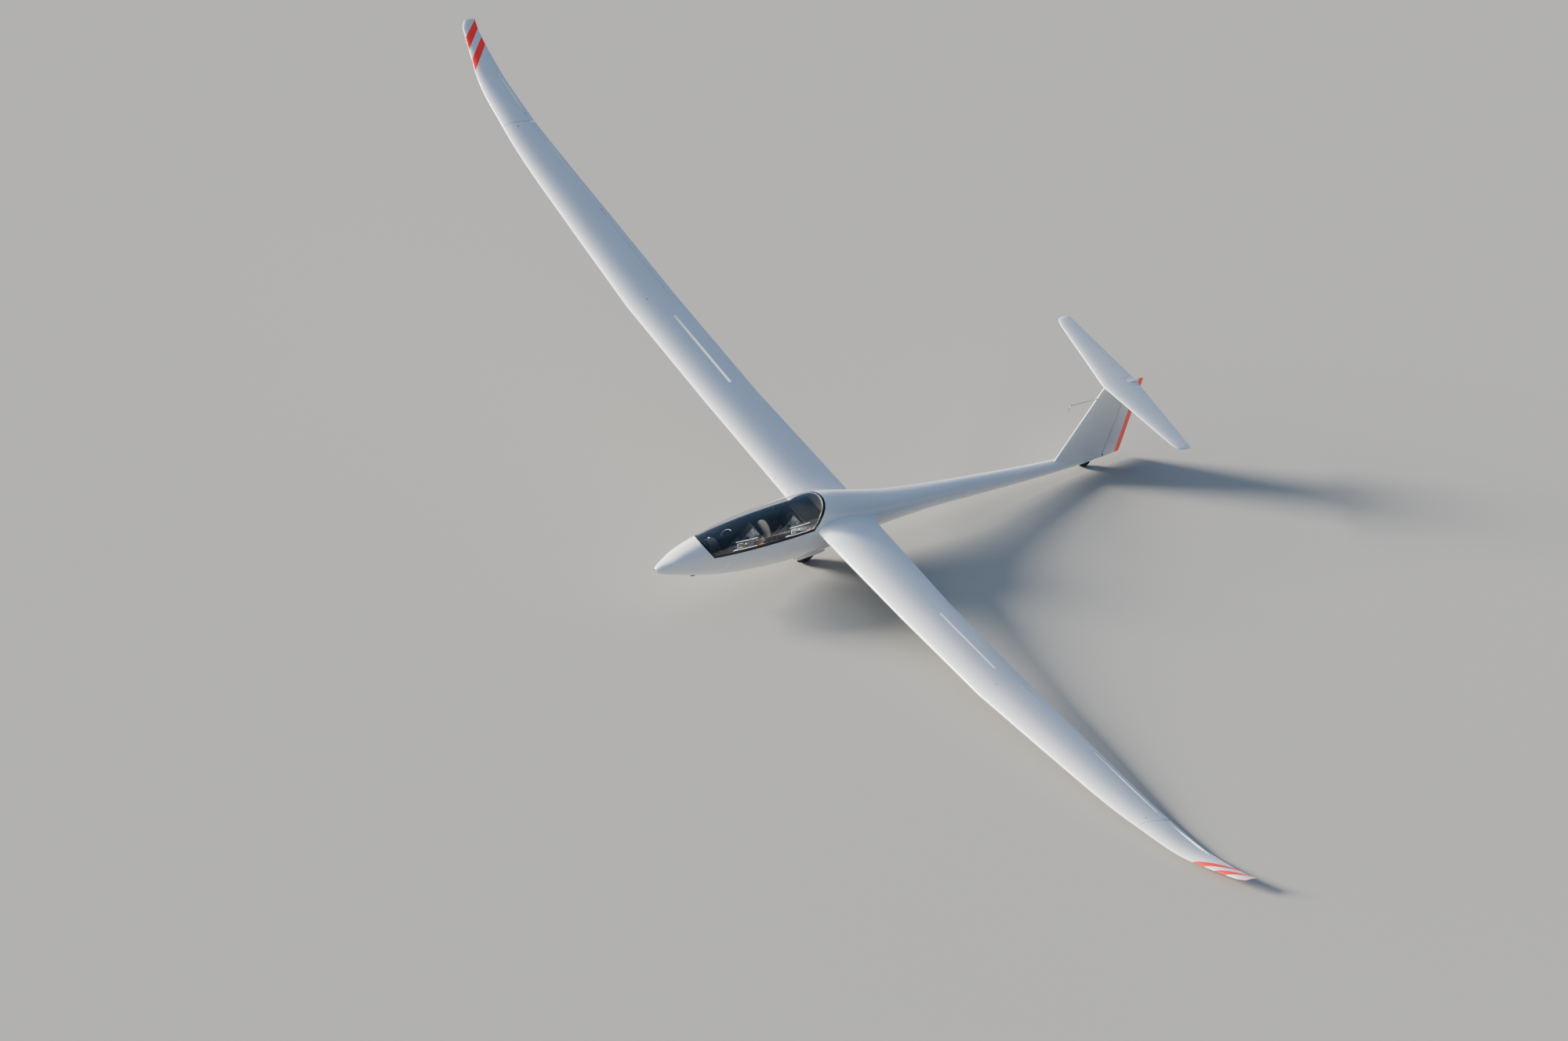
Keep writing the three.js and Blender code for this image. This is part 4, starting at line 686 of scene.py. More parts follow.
floor_grey = painted("floor_grey", (0.34, 0.333, 0.31), (0.33, 0.323, 0.30), 0.05, 1.0, 0.75, 0.95,
                     Specular_IOR_Level=0.08)[0]


# Fuselage

def hull_ring(station, inset=0.0):
    """The fuselage's section at a station, drawn in by an inset."""
    half, top, bottom = row(HULL, station, smoothly)
    half, top, bottom = half - inset, top - inset, bottom + inset
    power = 2 / HULL_SQUARENESS
    ring = []
    for i in range(HULL_POINTS):
        angle = 2 * math.pi * (i + 0.5) / HULL_POINTS
        out, up = squarer(math.cos(angle), power), squarer(math.sin(angle), power)
        ring.append(Vector((station, half * out, (top + bottom) / 2 + (top - bottom) / 2 * up)))
    return ring


def hull(name, start, end, inset=0.0):
    """The fuselage's form between two stations, in short steps at the nose."""
    places = [s for s in (start, *NOSE_STATIONS) if start <= s < end]
    places += [s for s in steps(NOSE_STATIONS[-1], HULL_END, 0.075)[1:] if start < s < end - 0.01] + [end]
    return loft(name, [hull_ring(s, inset) for s in places])


def canopy_outline(shrink):
    """The canopy's outline in side view, with each side moved inwards along its own normal."""
    corners = [Vector(c) for c in (SILL_FRONT, SILL_REAR, ARCH_TOP, (2.7, 1.0), (0.9, 1.0), BOW_TOP)]
    moved = []
    for i, corner in enumerate(corners):
        one = (corner - corners[i - 1]).normalized()
        two = (corners[(i + 1) % len(corners)] - corner).normalized()
        normal = Vector((-one.y - two.y, one.x + two.x)).normalized()
        moved.append(corner + normal * (shrink / (normal.x * -one.y + normal.y * one.x)))
    return moved


def well_block(front, rear, half, bottom, top, grow=0.0):
    """The block that a well takes up, or one larger all round."""
    return block((front - grow, -half - grow, bottom), (rear + grow, half + grow, top + grow))


def cockpit_space(lining=(), gap=0.0, ends=0.0):
    """The room inside the cockpit's wall, floor and rear bulkhead, smaller by a gap."""
    deck_rear = DECK_END - FLOOR["deck_gap"]
    outline = [(COCKPIT_FRONT, BELOW), (FLOOR["bulkhead_foot"] - gap, BELOW),
               (BULKHEAD - gap, FLOOR["bulkhead_bend"] + gap), (deck_rear, FLOOR["deck"] + gap),
               (deck_rear, ABOVE), (COCKPIT_FRONT, ABOVE)]
    space = paint(hull("cockpit_space", COCKPIT_FRONT + ends, DECK_END - ends, SKIN + gap), *lining)
    combine(space, paint(side_prism("floor", outline, -0.5, 0.5), *lining), "INTERSECT")
    return combine(space, paint(well_block(*NOSE_HOUSING, gap), *lining))


def fuselage():
    """The fuselage's skin with its wing stubs, cut for the cockpit, the canopy, the wheels and the hinges."""
    skin = paint(hull("fuselage", NOSE_CAP + SEAT, HULL_END), gelcoat)
    for side in SIDES.values():
        combine(skin, paint(root_fairing(side), gelcoat), "UNION")
    combine(skin, cockpit_space((interior,)))
    combine(skin, paint(side_prism("opening", canopy_outline(0), -0.5, 0.5), frame_black))
    for well in WELLS.values():
        combine(skin, paint(well_block(*well), interior))
    combine(skin, paint(hinge_slots(), interior))
    finished(skin, "airframe", ("cockpit_shell", "centre_fuselage", "tail_boom"))


def hinge_frames():
    """A frame at each canopy hinge: along the hinge line, out to starboard, up."""
    level = PARKED.inverted()
    place = level @ Vector(joint("canopy_opening")["pos_m"])
    axis = level.to_3x3() @ -Vector(joint("canopy_opening")["axis"])
    across = basis(axis, Vector((0, 1, 0))).to_4x4()
    points = [place + axis * ((station - place.x) / axis.x) for station in CANOPY_HINGE["stations"]]
    return [Matrix.Translation(point) @ across for point in points]


def hinge_slots():
    """Slots in the starboard sill where the canopy's arms turn."""
    half = CANOPY_HINGE["half"]
    low, high = (-half, -0.06, CANOPY_HINGE["floor"]), (half, 0.06, 0.08)
    return joined("hinge_slots", *[block(low, high, matrix) for matrix in hinge_frames()])


# Wing sections

def foil(chord, share, thick, camber):
    """Half the thickness of a section, and the height of its middle line, at a share of its chord."""
    half = 5 * thick * (0.2969 * math.sqrt(share) - 0.126 * share - 0.3516 * share ** 2
                        + 0.2843 * share ** 3 - 0.1036 * share ** 4)
    crest = 0.42
    if share < crest:
        line = camber / crest ** 2 * (2 * crest * share - share ** 2)
    else:
        line = camber / (1 - crest) ** 2 * (1 - 2 * crest + 2 * crest * share - share ** 2)
    return half * chord + EDGE * share, line * chord


def foil_ring(nose, tail, thick, place, camber=0.0, incidence=0.0, swell=0.0):
    """Section from the trailing edge over the top and back below; place puts x and height in space."""
    ring = []
    chord = tail - nose
    for i in range(2 * FOIL_POINTS):
        step = min(i, 2 * FOIL_POINTS - 1 - i) / (FOIL_POINTS - 0.5)
        share = (1 + math.cos(step * math.pi)) / 2
        half, line = foil(chord, share, thick, camber)
        height = line + (half + swell if i < FOIL_POINTS else -half - swell)
        aft = share * chord
        ring.append(place(nose + aft * math.cos(incidence) + height * math.sin(incidence),
                          height * math.cos(incidence) - aft * math.sin(incidence)))
    return ring


def wing_row(y):
    """Leading edge, trailing edge, height and thickness at a distance out; the outer wing bends smoothly."""
    nose, _, rise, thick = row(WING, y, smoothly if y > SMOOTH_FROM else along)
    return nose, row(WING, y)[1], rise, thick


def wing_ring(y, grow=(0.0, 0.0), thick=None, side=1, station=None, swell=0.0):
    """The wing's section at a distance out, or the section of another station put there."""
    nose, tail, rise, own = wing_row(y if station is None else station)
    return foil_ring(nose - grow[0], tail + grow[1], thick or own,
                     lambda x, z: Vector((x, side * y, rise + z)), WING_CAMBER, WING_INCIDENCE, swell)


def wing_there(y, x):
    """Height of the wing's middle and half its thickness, at a distance out and a station."""
    nose, tail, rise, thick = wing_row(y)
    chord = tail - nose
    share = (x - nose) / chord
    half, line = foil(chord, share, thick, WING_CAMBER)
    return rise + line - share * chord * math.sin(WING_INCIDENCE), half


def root_fairing(side):
    """Stub of the wing on the fuselage, which swells inwards into a fillet."""
    rings = []
    for y in FAIRING["steps"]:
        swell = min(1.0, (WING_ROOT - y) / FAIRING["width"]) ** 2
        grow = (FAIRING["lead"] * swell, FAIRING["trail"] * swell)
        rings.append(wing_ring(y, grow, WING[0][4] + FAIRING["thick"] * swell, side, WING_ROOT))
    return loft("root_fairing", rings)


def wing_panel(name, start, end):
    """One wing panel's skin, with finer steps over the raked tip."""
    rows = [r[0] for r in WING if start + 0.001 < r[0] < end - 0.001]
    places = [start]
    for stop in rows + [end]:
        places += steps(places[-1], stop, 0.25 if stop <= WING_SEAM else 0.045)[1:]
    return loft(name, [wing_ring(y) for y in places])


def hinge_frame(ends):
    """Frame of a hinge line: aft, along it, up; and the line's length."""
    start, end = Vector(ends[0][0]), Vector(ends[1][0])
    out = (end - start).normalized()
    aft = Vector((1, 0, 0)) - out * out.x
    aft.normalize()
    return frame_at(start, aft, out, aft.cross(out)), (end - start).length


def hinged(name, whole, ends, lugs, clear):
    """Parts a surface at its hinge line: the moving piece gets a round nose, and what stays gets the lugs.

    ends gives each end's place and nose radius, lugs the share of the line where each lug is, and clear the
    room beyond the two ends."""
    matrix, length = hinge_frame(ends)
    (start, nose_a), (end, nose_b) = ends
    reach, deep, lug_half = HINGE["reach"], HINGE["deep"], HINGE["lug"]
    moving = copy_of(whole, name)
    combine(moving, block((0, 0, -deep), (reach, length, deep), matrix), "INTERSECT")
    combine(moving, rod(start, end, nose_a, nose_b, 40), "UNION")
    combine(whole, block((-nose_a - RUN, -clear[0], -deep), (reach, length + clear[1], deep), matrix))
    for share in lugs:
        nose = nose_a + share * (nose_b - nose_a)
        radius = min(nose - HINGE["wall"], HINGE["radius"])
        middle = Matrix.Translation(matrix.to_3x3() @ Vector((0, share * length, 0))) @ matrix
        at = lambda y: middle @ Vector((0, y, 0))
        room = lug_half + HINGE["room"]
        combine(moving, rod(at(-room), at(room), nose + 0.003, sides=40))
        lug = rod(at(-lug_half), at(lug_half), radius, sides=32)
        web = block((-nose - RUN - HINGE["ahead"], -lug_half, -0.85 * radius),
                    (0, lug_half, 0.85 * radius), middle)
        combine(lug, web, "UNION")
        combine(lug, rod(at(-0.02), at(0.02), HINGE["bore"], sides=20))
        combine(whole, lug, "UNION")
    inner = matrix @ Vector((0, 0.001, 0)), matrix @ Vector((0, length - 0.001, 0))
    combine(moving, rod(*inner, HINGE["pin"], sides=16), "UNION")
    return moving


def aileron_ends(spec, shy=0.0):
    """Ends of an aileron's hinge line, each with its place and the nose's radius."""
    ends = []
    for y, x in (spec["from"], spec["to"]):
        middle, half = wing_there(y, x)
        ends.append(((x, y, middle), half - shy))
    return ends


def wings():
    """Each wing's inner and outer panel, with its aileron parted off."""
    for name, start, end in (("inner", WING_ROOT + SEAT, WING_SEAM - SEAT / 2),
                             ("outer", WING_SEAM + SEAT / 2, HALF_SPAN)):
        panel = paint(wing_panel(f"wing_{name}", start, end), gelcoat)
        spec = AILERONS[name]
        span = spec["to"][0] - spec["from"][0]
        places = [(y - spec["from"][0]) / span for y in spec["lugs"]]
        aileron = hinged(f"aileron_{name}", panel, aileron_ends(spec, HINGE["shy"]), places, spec["clear"])
        if name == "inner":
            combine(panel, paint(brake_well(), interior))
        else:
            for edges in STRIPES:
                inner, outer = ([Vector((*point, 1.6)) for point in edge] for edge in edges)
                paint_band(panel, inner, outer, Vector((0, 0, 1)), glowing_red_paint)
        pair(panel, f"wing_{name}_{{}}_skin", "airframe", f"wing_{name}_{{}}")
        node = f"aileron_{name}_{{}}"
        pair(aileron, node + "_skin", node, node)


def brake_frame():
    """The frame of the airbrake's slide: aft, along it, up; and half its length."""
    ends = []
    for y in (BRAKE["from"], BRAKE["to"]):
        nose, tail = row(WING, y)[:2]
        x = nose + BRAKE["chordwise"] * (tail - nose)
        ends.append(Vector((x, y, sum(wing_there(y, x)))))
    out = (ends[1] - ends[0]).normalized()
    aft = Vector((1, 0, -BRAKE["slope"])) - out * out.x
    up = aft.normalized().cross(out).normalized()
    return frame_at((ends[0] + ends[1]) / 2, out.cross(up), out, up), (ends[1] - ends[0]).length / 2


def brake_well():
    """The slot that the airbrake's plates rise out of."""
    matrix, half = brake_frame()
    slot, deep, above = BRAKE["slot"], BRAKE["deep"], BRAKE["above"]
    well = block((-slot, -half, -deep), (slot, half, above), matrix)
    cap, ends = BRAKE["cap"] / 2 + RUN, half + 2 * RUN
    combine(well, block((-cap, -ends, -RUN), (cap, ends, above), matrix), "UNION")
    for low, high in ((-0.008, -0.004), (0.004, 0.008)):
        combine(well, block((low, -half - 0.01, -deep), (high, half + 0.01, above), matrix), "UNION")
    return well


# Tail

def fin_ring(z):
    """The fin's section at a height."""
    return foil_ring(*row(FIN, z), lambda x, y: Vector((x, y, z)))


def tail_half(table, place, x):
    """Half the thickness of the fin or the tailplane, at a place in its table and a station."""
    nose, tail, thick = row(table, place)
    return foil(tail - nose, (x - nose) / (tail - nose), thick, 0)[0]


def fin_and_rudder():
    """The rudder with its red band, and the fin cut clear of it and of the boom."""
    top = FIN[-1][0]
    ends = [((RUDDER_HINGE, 0, z), tail_half(FIN, z, RUDDER_HINGE) - HINGE["shy"])
            for z in (RUDDER_FOOT, top)]
    rudder = paint(loft("rudder_skin", [fin_ring(z) for z in steps(RUDDER_FOOT, top, 0.15)]), gelcoat)
    outline = [(RUDDER_HINGE, RUDDER_FOOT), (8.7, RUDDER_HEEL + 0.01), (8.7, top + 0.1),
               (RUDDER_HINGE, top + 0.1)]
    combine(rudder, side_prism("aft_of_hinge", outline, -0.2, 0.2), "INTERSECT")
    combine(rudder, rod(ends[0][0], ends[1][0], ends[0][1], ends[1][1], 48), "UNION")
    front, rear = ([Vector((x, 0, z)) for x, z in edge] for edge in RUDDER_BAND)
    paint_band(rudder, front, rear, Vector((0, 1, 0)), glowing_red_paint)
    finished(rudder, "rudder", ("rudder",))

    fin = paint(loft("fin_skin", [fin_ring(z) for z in steps(0.40, FIN_TOP, 0.15)]), gelcoat)
    ahead = [RUDDER_HINGE - nose - RUN for _, nose in ends]
    rear = [(ahead[0], RUDDER_FOOT), (9.0, RUDDER_FOOT), (9.0, top), (ahead[1], top)]
    combine(fin, side_prism("rudder_room", rear, -0.2, 0.2))
    combine(fin, hull("boom_room", 7.0, HULL_END))
    finished(fin, "airframe", ("fin",))


def tailplane():
    """The tailplane with its two elevator halves parted off."""
    rows = [(-y, *rest) for y, *rest in reversed(STAB[1:])] + STAB
    places = []
    for low, high in zip(rows, rows[1:]):
        places += steps(low[0], high[0], 0.2)[:-1]
    places.append(rows[-1][0])
    rings = [foil_ring(*row(rows, y), lambda x, z, y=y: Vector((x, y, STAB_HEIGHT + z))) for y in places]
    stab = paint(loft("stabiliser_skin", rings), gelcoat)
    ends = elevator_ends(SEAT)
    elevator = hinged("elevator_starboard_skin", stab, ends, (0.2, 0.8), (RUN, RUN))
    pair(elevator, "elevator_{}_skin", "elevator", "elevator_{}")
    combine(stab, block((ELEVATOR_HINGE - ends[0][1] - RUN, -ELEVATOR_TO - RUN, 1.6),
                        (8.5, -ELEVATOR_FROM + RUN, 1.9)))
    finished(stab, "airframe", ("stabiliser",))


def elevator_ends(shy=0.0):
    """Ends of the starboard elevator's hinge line, each with its place and the nose's radius."""
    return [((ELEVATOR_HINGE, y, STAB_HEIGHT), tail_half(STAB, y, ELEVATOR_HINGE) - shy)
            for y in (ELEVATOR_FROM, ELEVATOR_TO)]


# Canopy

def hull_half(station, height, inset=0.0):
    """Half width of the fuselage at a station and a height."""
    half, top, bottom = row(HULL, station, smoothly)
    level = min(1.0, abs((2 * height - top - bottom) / (top - bottom - 2 * inset)))
    return (half - inset) * (1 - level ** HULL_SQUARENESS) ** (1 / HULL_SQUARENESS)


def hinge_arms():
    """Two arms under the canopy's starboard rail that turn on pins in the sill's slots."""
    pieces = []
    for matrix in hinge_frames():
        at = lambda x, y, z: matrix @ Vector((x, y, z))
        arm = block((-0.006, -0.012, 0), (0.006, 0.003, 0.062), matrix)
        combine(arm, rod(at(-0.006, 0, 0), at(0.006, 0, 0), 0.010, sides=32), "UNION")
        combine(arm, rod(at(-0.022, 0, 0), at(0.022, 0, 0), 0.004, sides=20), "UNION")
        pieces.append(arm)
    return pieces


def on_port_glass(station, height, depth):
    """A place on the port side of the canopy, some depth below its face."""
    return Vector((station, -hull_half(station, height, depth), height))


def sliding_window(name):
    """A sliding pane in two rails on the port side, with its end frame and knob."""
    spec = WINDOWS[name]
    parts = []
    for (x0, z0), (x1, z1) in (spec["low"], spec["high"]):
        line = [on_port_glass(x0 + (x1 - x0) * i / 16, z0 + (z1 - z0) * i / 16, 0.011) for i in range(17)]
        parts.append(sweep("rail", line, flat_band(0.009, 0.007), (0, 0.3, 1)))

    def between(x, share, depth):
        low, high = (along(spec[edge], x, 1) for edge in ("low", "high"))
        return on_port_glass(x, low + share * (high - low), depth)

    start, end = spec["from"], spec["to"]
    corners = [(end, 0.26), (start, 0.26), (start, 0.74), (end, 0.74)]
    for (x0, s0), (x1, s1) in zip(corners, corners[1:]):
        line = [between(x0 + (x1 - x0) * i / 6, s0 + (s1 - s0) * i / 6, 0.0125) for i in range(7)]
        parts.append(sweep("edge", line, flat_band(0.006, 0.004), (1, 0, 0) if x0 == x1 else (0, 0.3, 1)))
    knob = between(spec["knob"], 0.55, 0.012)
    parts.append(turned("knob", [(0, 0.009), (0.008, 0.009), (0.010, 0.007), (0.012, 0.004)], knob,
                        (0, 1, 0.25), 24))
    finished(paint(joined(f"window_{name}_rails", *parts), white_plastic), "canopy")
    rings = []
    for x in (start + (spec["pane"] - start) * i / 12 for i in range(13)):
        outside = [between(x, share / 6, 0.0075) for share in range(7)]
        inside = [between(x, share / 6, 0.0105) for share in range(6, -1, -1)]
        rings.append(outside + inside)
    finished(paint(loft(f"window_{name}_pane", rings), clear_glass), "canopy")


def canopy_handles():
    """Latch levers inside the port rail: a white one to lock and a red one to throw the canopy off."""
    for name, station, material in (("front_lock", 1.16, white_plastic), ("front_release", 1.60, knob_red),
                                    ("rear_lock", 2.06, white_plastic), ("rear_release", 2.44, knob_red)):
        sill = SILL_FRONT[1] + (station - SILL_FRONT[0]) * SILL_SLOPE
        foot = Vector((station, -hull_half(station, sill + 0.025, FRAME_DEPTH) + 0.0005, sill + 0.025))
        base = turned("base", [(0, 0.013), (0.006, 0.013), (0.008, 0.011)], foot, (0, 1, 0), 28)
        line = curve_through([foot + Vector((0, 0.007, 0)), foot + Vector((0.02, 0.012, 0.004)),
                              foot + Vector((0.06, 0.016, 0.009)), foot + Vector((0.085, 0.018, 0.012))], 14)
        grip = sweep("grip", line, lambda t: circle(0.0045 + 0.0035 * min(1, 2 * t), 14), (0, 0, 1))
        lever = paint(rounded(joined(f"canopy_{name}", base, grip), 0.0015), material)
        finished(lever, "canopy", angle=50)


def canopy():
    """The black rail with its arms, the windows and handles on it, and the glass inside it."""
    rim = paint(hull("canopy_rail", 0.5, 3.0), frame_black)
    combine(rim, paint(hull("inside", 0.45, 3.05, FRAME_DEPTH), frame_black))
    combine(rim, side_prism("room", canopy_outline(CANOPY_GAP), -0.5, 0.5), "INTERSECT")
    combine(rim, side_prism("pane", canopy_outline(CANOPY_GAP + FRAME_WIDTH), -0.6, 0.6))
    for arm in hinge_arms():
        combine(rim, paint(arm, steel), "UNION")
    finished(rounded(rim, 0.0012, 2, 50), "canopy", ("canopy_frame",))
    for name in WINDOWS:
        sliding_window(name)
    canopy_handles()
    glass = paint(hull("canopy_pane", 0.5, 3.0), clear_glass)
    combine(glass, paint(hull("inside", 0.45, 3.05, GLASS_THICKNESS), clear_glass))
    opening = canopy_outline(CANOPY_GAP + FRAME_WIDTH + SEAT)
    combine(glass, side_prism("room", opening, -0.5, 0.5), "INTERSECT")
    finished(glass, "canopy", ("canopy_glass",))


# Small pieces on the airframe

NOSE_HOLE = {"height": 0.002, "radius": 0.013, "depth": 0.026}
PROBE = {"root": (7.745, 1.536), "nose": (7.237, 1.513), "foot": 1.400, "bend": 0.03, "radius": 0.0045}
SKID = {"y": 9.290, "x": 2.950, "long": 0.190, "thick": 0.022, "deep": 0.062, "front": 0.035, "rear": 0.015}
TOW_HOOKS = {"nose": 0.430, "centre": 2.590}
CAP_LINE = 0.0012       # gap that shows around an airbrake's cap
SEAM_LINE = {"half": 0.002, "proud": 0.0003, "ahead": 0.03}
WIPERS = {"stations": (0.50, 0.82), "half": 0.018, "proud": 0.004, "deep": 0.04}
RUDDER_STUD = {"x": 8.250, "height": 0.400, "radius": 0.012}
PIN_DOTS = {"share": 0.35, "stations": (4.48, 8.042), "radius": 0.011}
# In SEAL, line gives the rear share of a tape's width that a dark strip of painted shade covers where the gap
# lies, and lift raises that strip over the tape.
SEAL = {"lap": 0.012, "rear": 0.56, "proud": 0.0004, "sunk": 0.0005, "line": (0.84, 1.0), "lift": 0.0002,
        "rudder": (0.475, FIN_TOP - 0.06)}
PORTS = (5.25, 5.31)    # stations of the static ports on the boom
CABLE_FAIRING = {"x": 8.150, "side_at": 0.362, "height": 0.366}


def nose_intake():
    """The nose cap with its round intake, a black ring in it and a small tube for the airspeed."""
    cap = paint(hull("nose_cap", 0.0005, NOSE_CAP), gelcoat)
    z, radius = NOSE_HOLE["height"], NOSE_HOLE["radius"]
    combine(cap, paint(rod((-0.01, 0, z), (NOSE_HOLE["depth"], 0, z), radius, sides=48), panel_black))
    finished(rounded(cap, 0.0012, 2, 40), "airframe", ("nose_intake",))
    ring = turned("nose_ring", [(0.004, radius - 0.0003), (0.020, radius - 0.0003)], (0, 0, z), (1, 0, 0), 48)
    combine(ring, rod((0, 0, z), (0.03, 0, z), radius - 0.0026, sides=48))
    finished(paint(ring, panel_black), "airframe")
    tube = turned("nose_pitot", [(0, 0.0022), (0.001, 0.0034), (0.014, 0.0036), (0.0185, 0.0052)],
                  (0.0075, 0, z), (1, 0, 0), 28)
    finished(paint(tube, white_plastic), "airframe")


def fin_probe():
    """The bent tube ahead of the fin, with two holes near its foot and a collar where it leaves the fin."""
    (rx, rz), (nx, nz), bend, tip = PROBE["root"], PROBE["nose"], PROBE["bend"], PROBE["foot"]
    root, start = Vector((rx, 0, rz)), Vector((nx + bend, 0, nz + 0.001))
    corner, end = Vector((nx, 0, nz)), Vector((nx, 0, nz - bend))
    line = [root.lerp(start, t / 10) for t in range(10)]
    for t in (i / 8 for i in range(9)):
        line.append((1 - t) ** 2 * start + 2 * t * (1 - t) * corner + t ** 2 * end)
    line += [end.lerp(Vector((nx, 0, tip)), t / 6) for t in range(1, 7)]
    probe = sweep("fin_probe_tube", line, circle(PROBE["radius"], 20))
    for height in (tip + 0.012, tip + 0.019):
        combine(probe, cross_rod(nx, height, -0.01, 0.01, 0.0012, 12))
    finished(paint(rounded(probe, 0.001), steel), "airframe", ("fin_probe",))
    run = (root - start).normalized()
    profile = [(0, 0.0062), (0.004, 0.0085), (0.034, 0.0095)]
    collar = turned("probe_collar", profile, root - run * 0.042, run, 28)
    combine(collar, rod(root - run * 0.06, root + run * 0.02, PROBE["radius"] + 0.0001, sides=28))
    finished(paint(collar, gelcoat), "airframe")


def tip_skids():
    """A rubber-soled runner under each wing tip, cut to the wing's underside."""
    y, x, thick, deep, nose, heel = (SKID[k] for k in ("y", "x", "thick", "deep", "front", "rear"))
    middle, half = wing_there(y, x)
    bottom = middle - half - deep
    front, rear = x - SKID["long"] / 2, x + SKID["long"] / 2
    outline = [(front, middle), (front + nose * 0.62, bottom + 0.012), (front + nose, bottom),
               (rear - heel, bottom), (rear - heel * 0.4, bottom + 0.010), (rear, middle)]
    runner = rounded(side_prism("runner", outline, y - thick / 2, y + thick / 2), 0.004, 3, 30)
    rings = [wing_ring(y + step, swell=SEAT) for step in (-0.14, -0.07, 0, 0.07, 0.14)]
    combine(runner, loft("wing_there", rings))
    for hole in (front + 0.055, rear - 0.045):
        combine(runner, cross_rod(hole, bottom + 0.018, y - 0.02, y + 0.02, 0.0045, 20))
    pair(paint(runner, skid_black), "tip_skid_{}_runner", "airframe", "tip_skid_{}")


def tow_hook(name, x):
    """A steel hook with an open mouth, cut to the belly above it."""
    bottom = row(HULL, x, smoothly)[2]
    outline = [(x - 0.034, bottom + 0.04), (x - 0.030, bottom - 0.010), (x - 0.012, bottom - 0.022),
               (x + 0.022, bottom - 0.022), (x + 0.022, bottom - 0.015), (x - 0.002, bottom - 0.013),
               (x + 0.002, bottom - 0.006), (x + 0.030, bottom - 0.006), (x + 0.034, bottom + 0.04)]
    hook = side_prism(f"{name}_steel", outline, -0.009, 0.009)
    combine(hook, cross_rod(x + 0.016, bottom - 0.009, -0.012, 0.012, 0.003, 20), "UNION")
    rounded(hook, 0.0015, 2, 30)
    combine(hook, hull("belly", NOSE_CAP, 4.25, -SEAT))
    finished(paint(hook, steel), "airframe", (name,))


def pin_covers():
    """Round covers over the pins in each wing's upper side."""
    pieces = []
    radius = PIN_DOTS["radius"]
    profile = [(-0.006, radius), (0.0002, radius), (0.0008, radius - 0.0012), (0.0004, radius * 0.35)]
    for station in PIN_DOTS["stations"]:
        nose, tail = row(WING, station)[:2]
        x = nose + PIN_DOTS["share"] * (tail - nose)
        here, further = (sum(wing_there(y, x)) for y in (station, station + 0.05))
        ahead, behind = (sum(wing_there(station, x + step)) for step in (-0.02, 0.02))
        up = Vector((0.04, 0, behind - ahead)).cross(Vector((0, 0.05, further - here))).normalized()
        pieces.append(paint(turned("pin_dot", profile, (x, station, here), up, 32), panel_black))
    pair(joined("covers", *pieces), "wing_pin_covers_{}", "airframe")


def panel_seams():
    """The dark line round each wing where its panels meet, up to the aileron."""
    half, proud = SEAM_LINE["half"], SEAM_LINE["proud"]
    line = loft("seam", [wing_ring(WING_SEAM + y, swell=proud) for y in (-half, half)])
    hinge = AILERONS["inner"]["to"][1] - SEAM_LINE["ahead"]
    combine(line, block((hinge, WING_SEAM - 0.1, 0.5), (hinge + 0.5, WING_SEAM + 0.1, 2.5)))
    pair(paint(line, panel_black), "wing_panel_seam_{}", "airframe")


def leading_edge_wipers():
    """Two cuffs on each leading edge beside the wing's root."""
    half, proud = WIPERS["half"], WIPERS["proud"]
    rows = ((-half, 0.25 * proud), (-0.8 * half, proud), (0.8 * half, proud), (half, 0.25 * proud))
    cuffs = []
    for station in WIPERS["stations"]:
        cuff = loft("cuff", [wing_ring(station + y, swell=swell) for y, swell in rows])
        edge = row(WING, station)[0] + WIPERS["deep"]
        cuffs.append(combine(cuff, block((edge, station - 0.1, 0), (edge + 1.5, station + 0.1, 2))))
    pair(paint(joined("cuffs", *cuffs), white_plastic), "leading_edge_wipers_{}", "airframe")


def boom_details():
    """On each side: two static ports, the rudder cable's fairing, and a stud at the rudder's foot."""
    port = [(0, 0.004), (0.0044, 0.004), (0.0048, 0.003)]
    fairing = [(0, 0.001), (0.008, 0.006), (0.022, 0.0105), (0.045, 0.012), (0.062, 0.0105), (0.072, 0.006),
               (0.076, 0.001)]
    for name, side in SIDES.items():
        parts = []
        for station in PORTS:
            top, bottom = row(HULL, station, smoothly)[1:]
            height = bottom + 0.5 * (top - bottom)
            place = (station, side * (hull_half(station, height) - 0.004), height)
            parts.append(turned("port", port, place, (0, side, 0), 20))
        finished(paint(joined(f"static_ports_{name}", *parts), steel), "airframe")
        x, side_at, height = (CABLE_FAIRING[k] for k in ("x", "side_at", "height"))
        place = Vector((x, side * (hull_half(x, side_at) - 0.006), height))
        blister = turned(f"rudder_cable_fairing_{name}", fairing, place, (1, -side * 0.06, -0.02), 24)
        finished(paint(blister, white_plastic), "airframe")
        x, height, radius = (RUDDER_STUD[k] for k in ("x", "height", "radius"))
        place = (x, side * (max(tail_half(FIN, height, x), hull_half(x, height)) - 0.003), height)
        profile = [(0, radius), (0.006, radius), (0.009, 0.6 * radius)]
        stud = turned(f"rudder_cable_stud_{name}", profile, place, (0, side, 0), 28)
        finished(paint(stud, panel_black), "airframe")


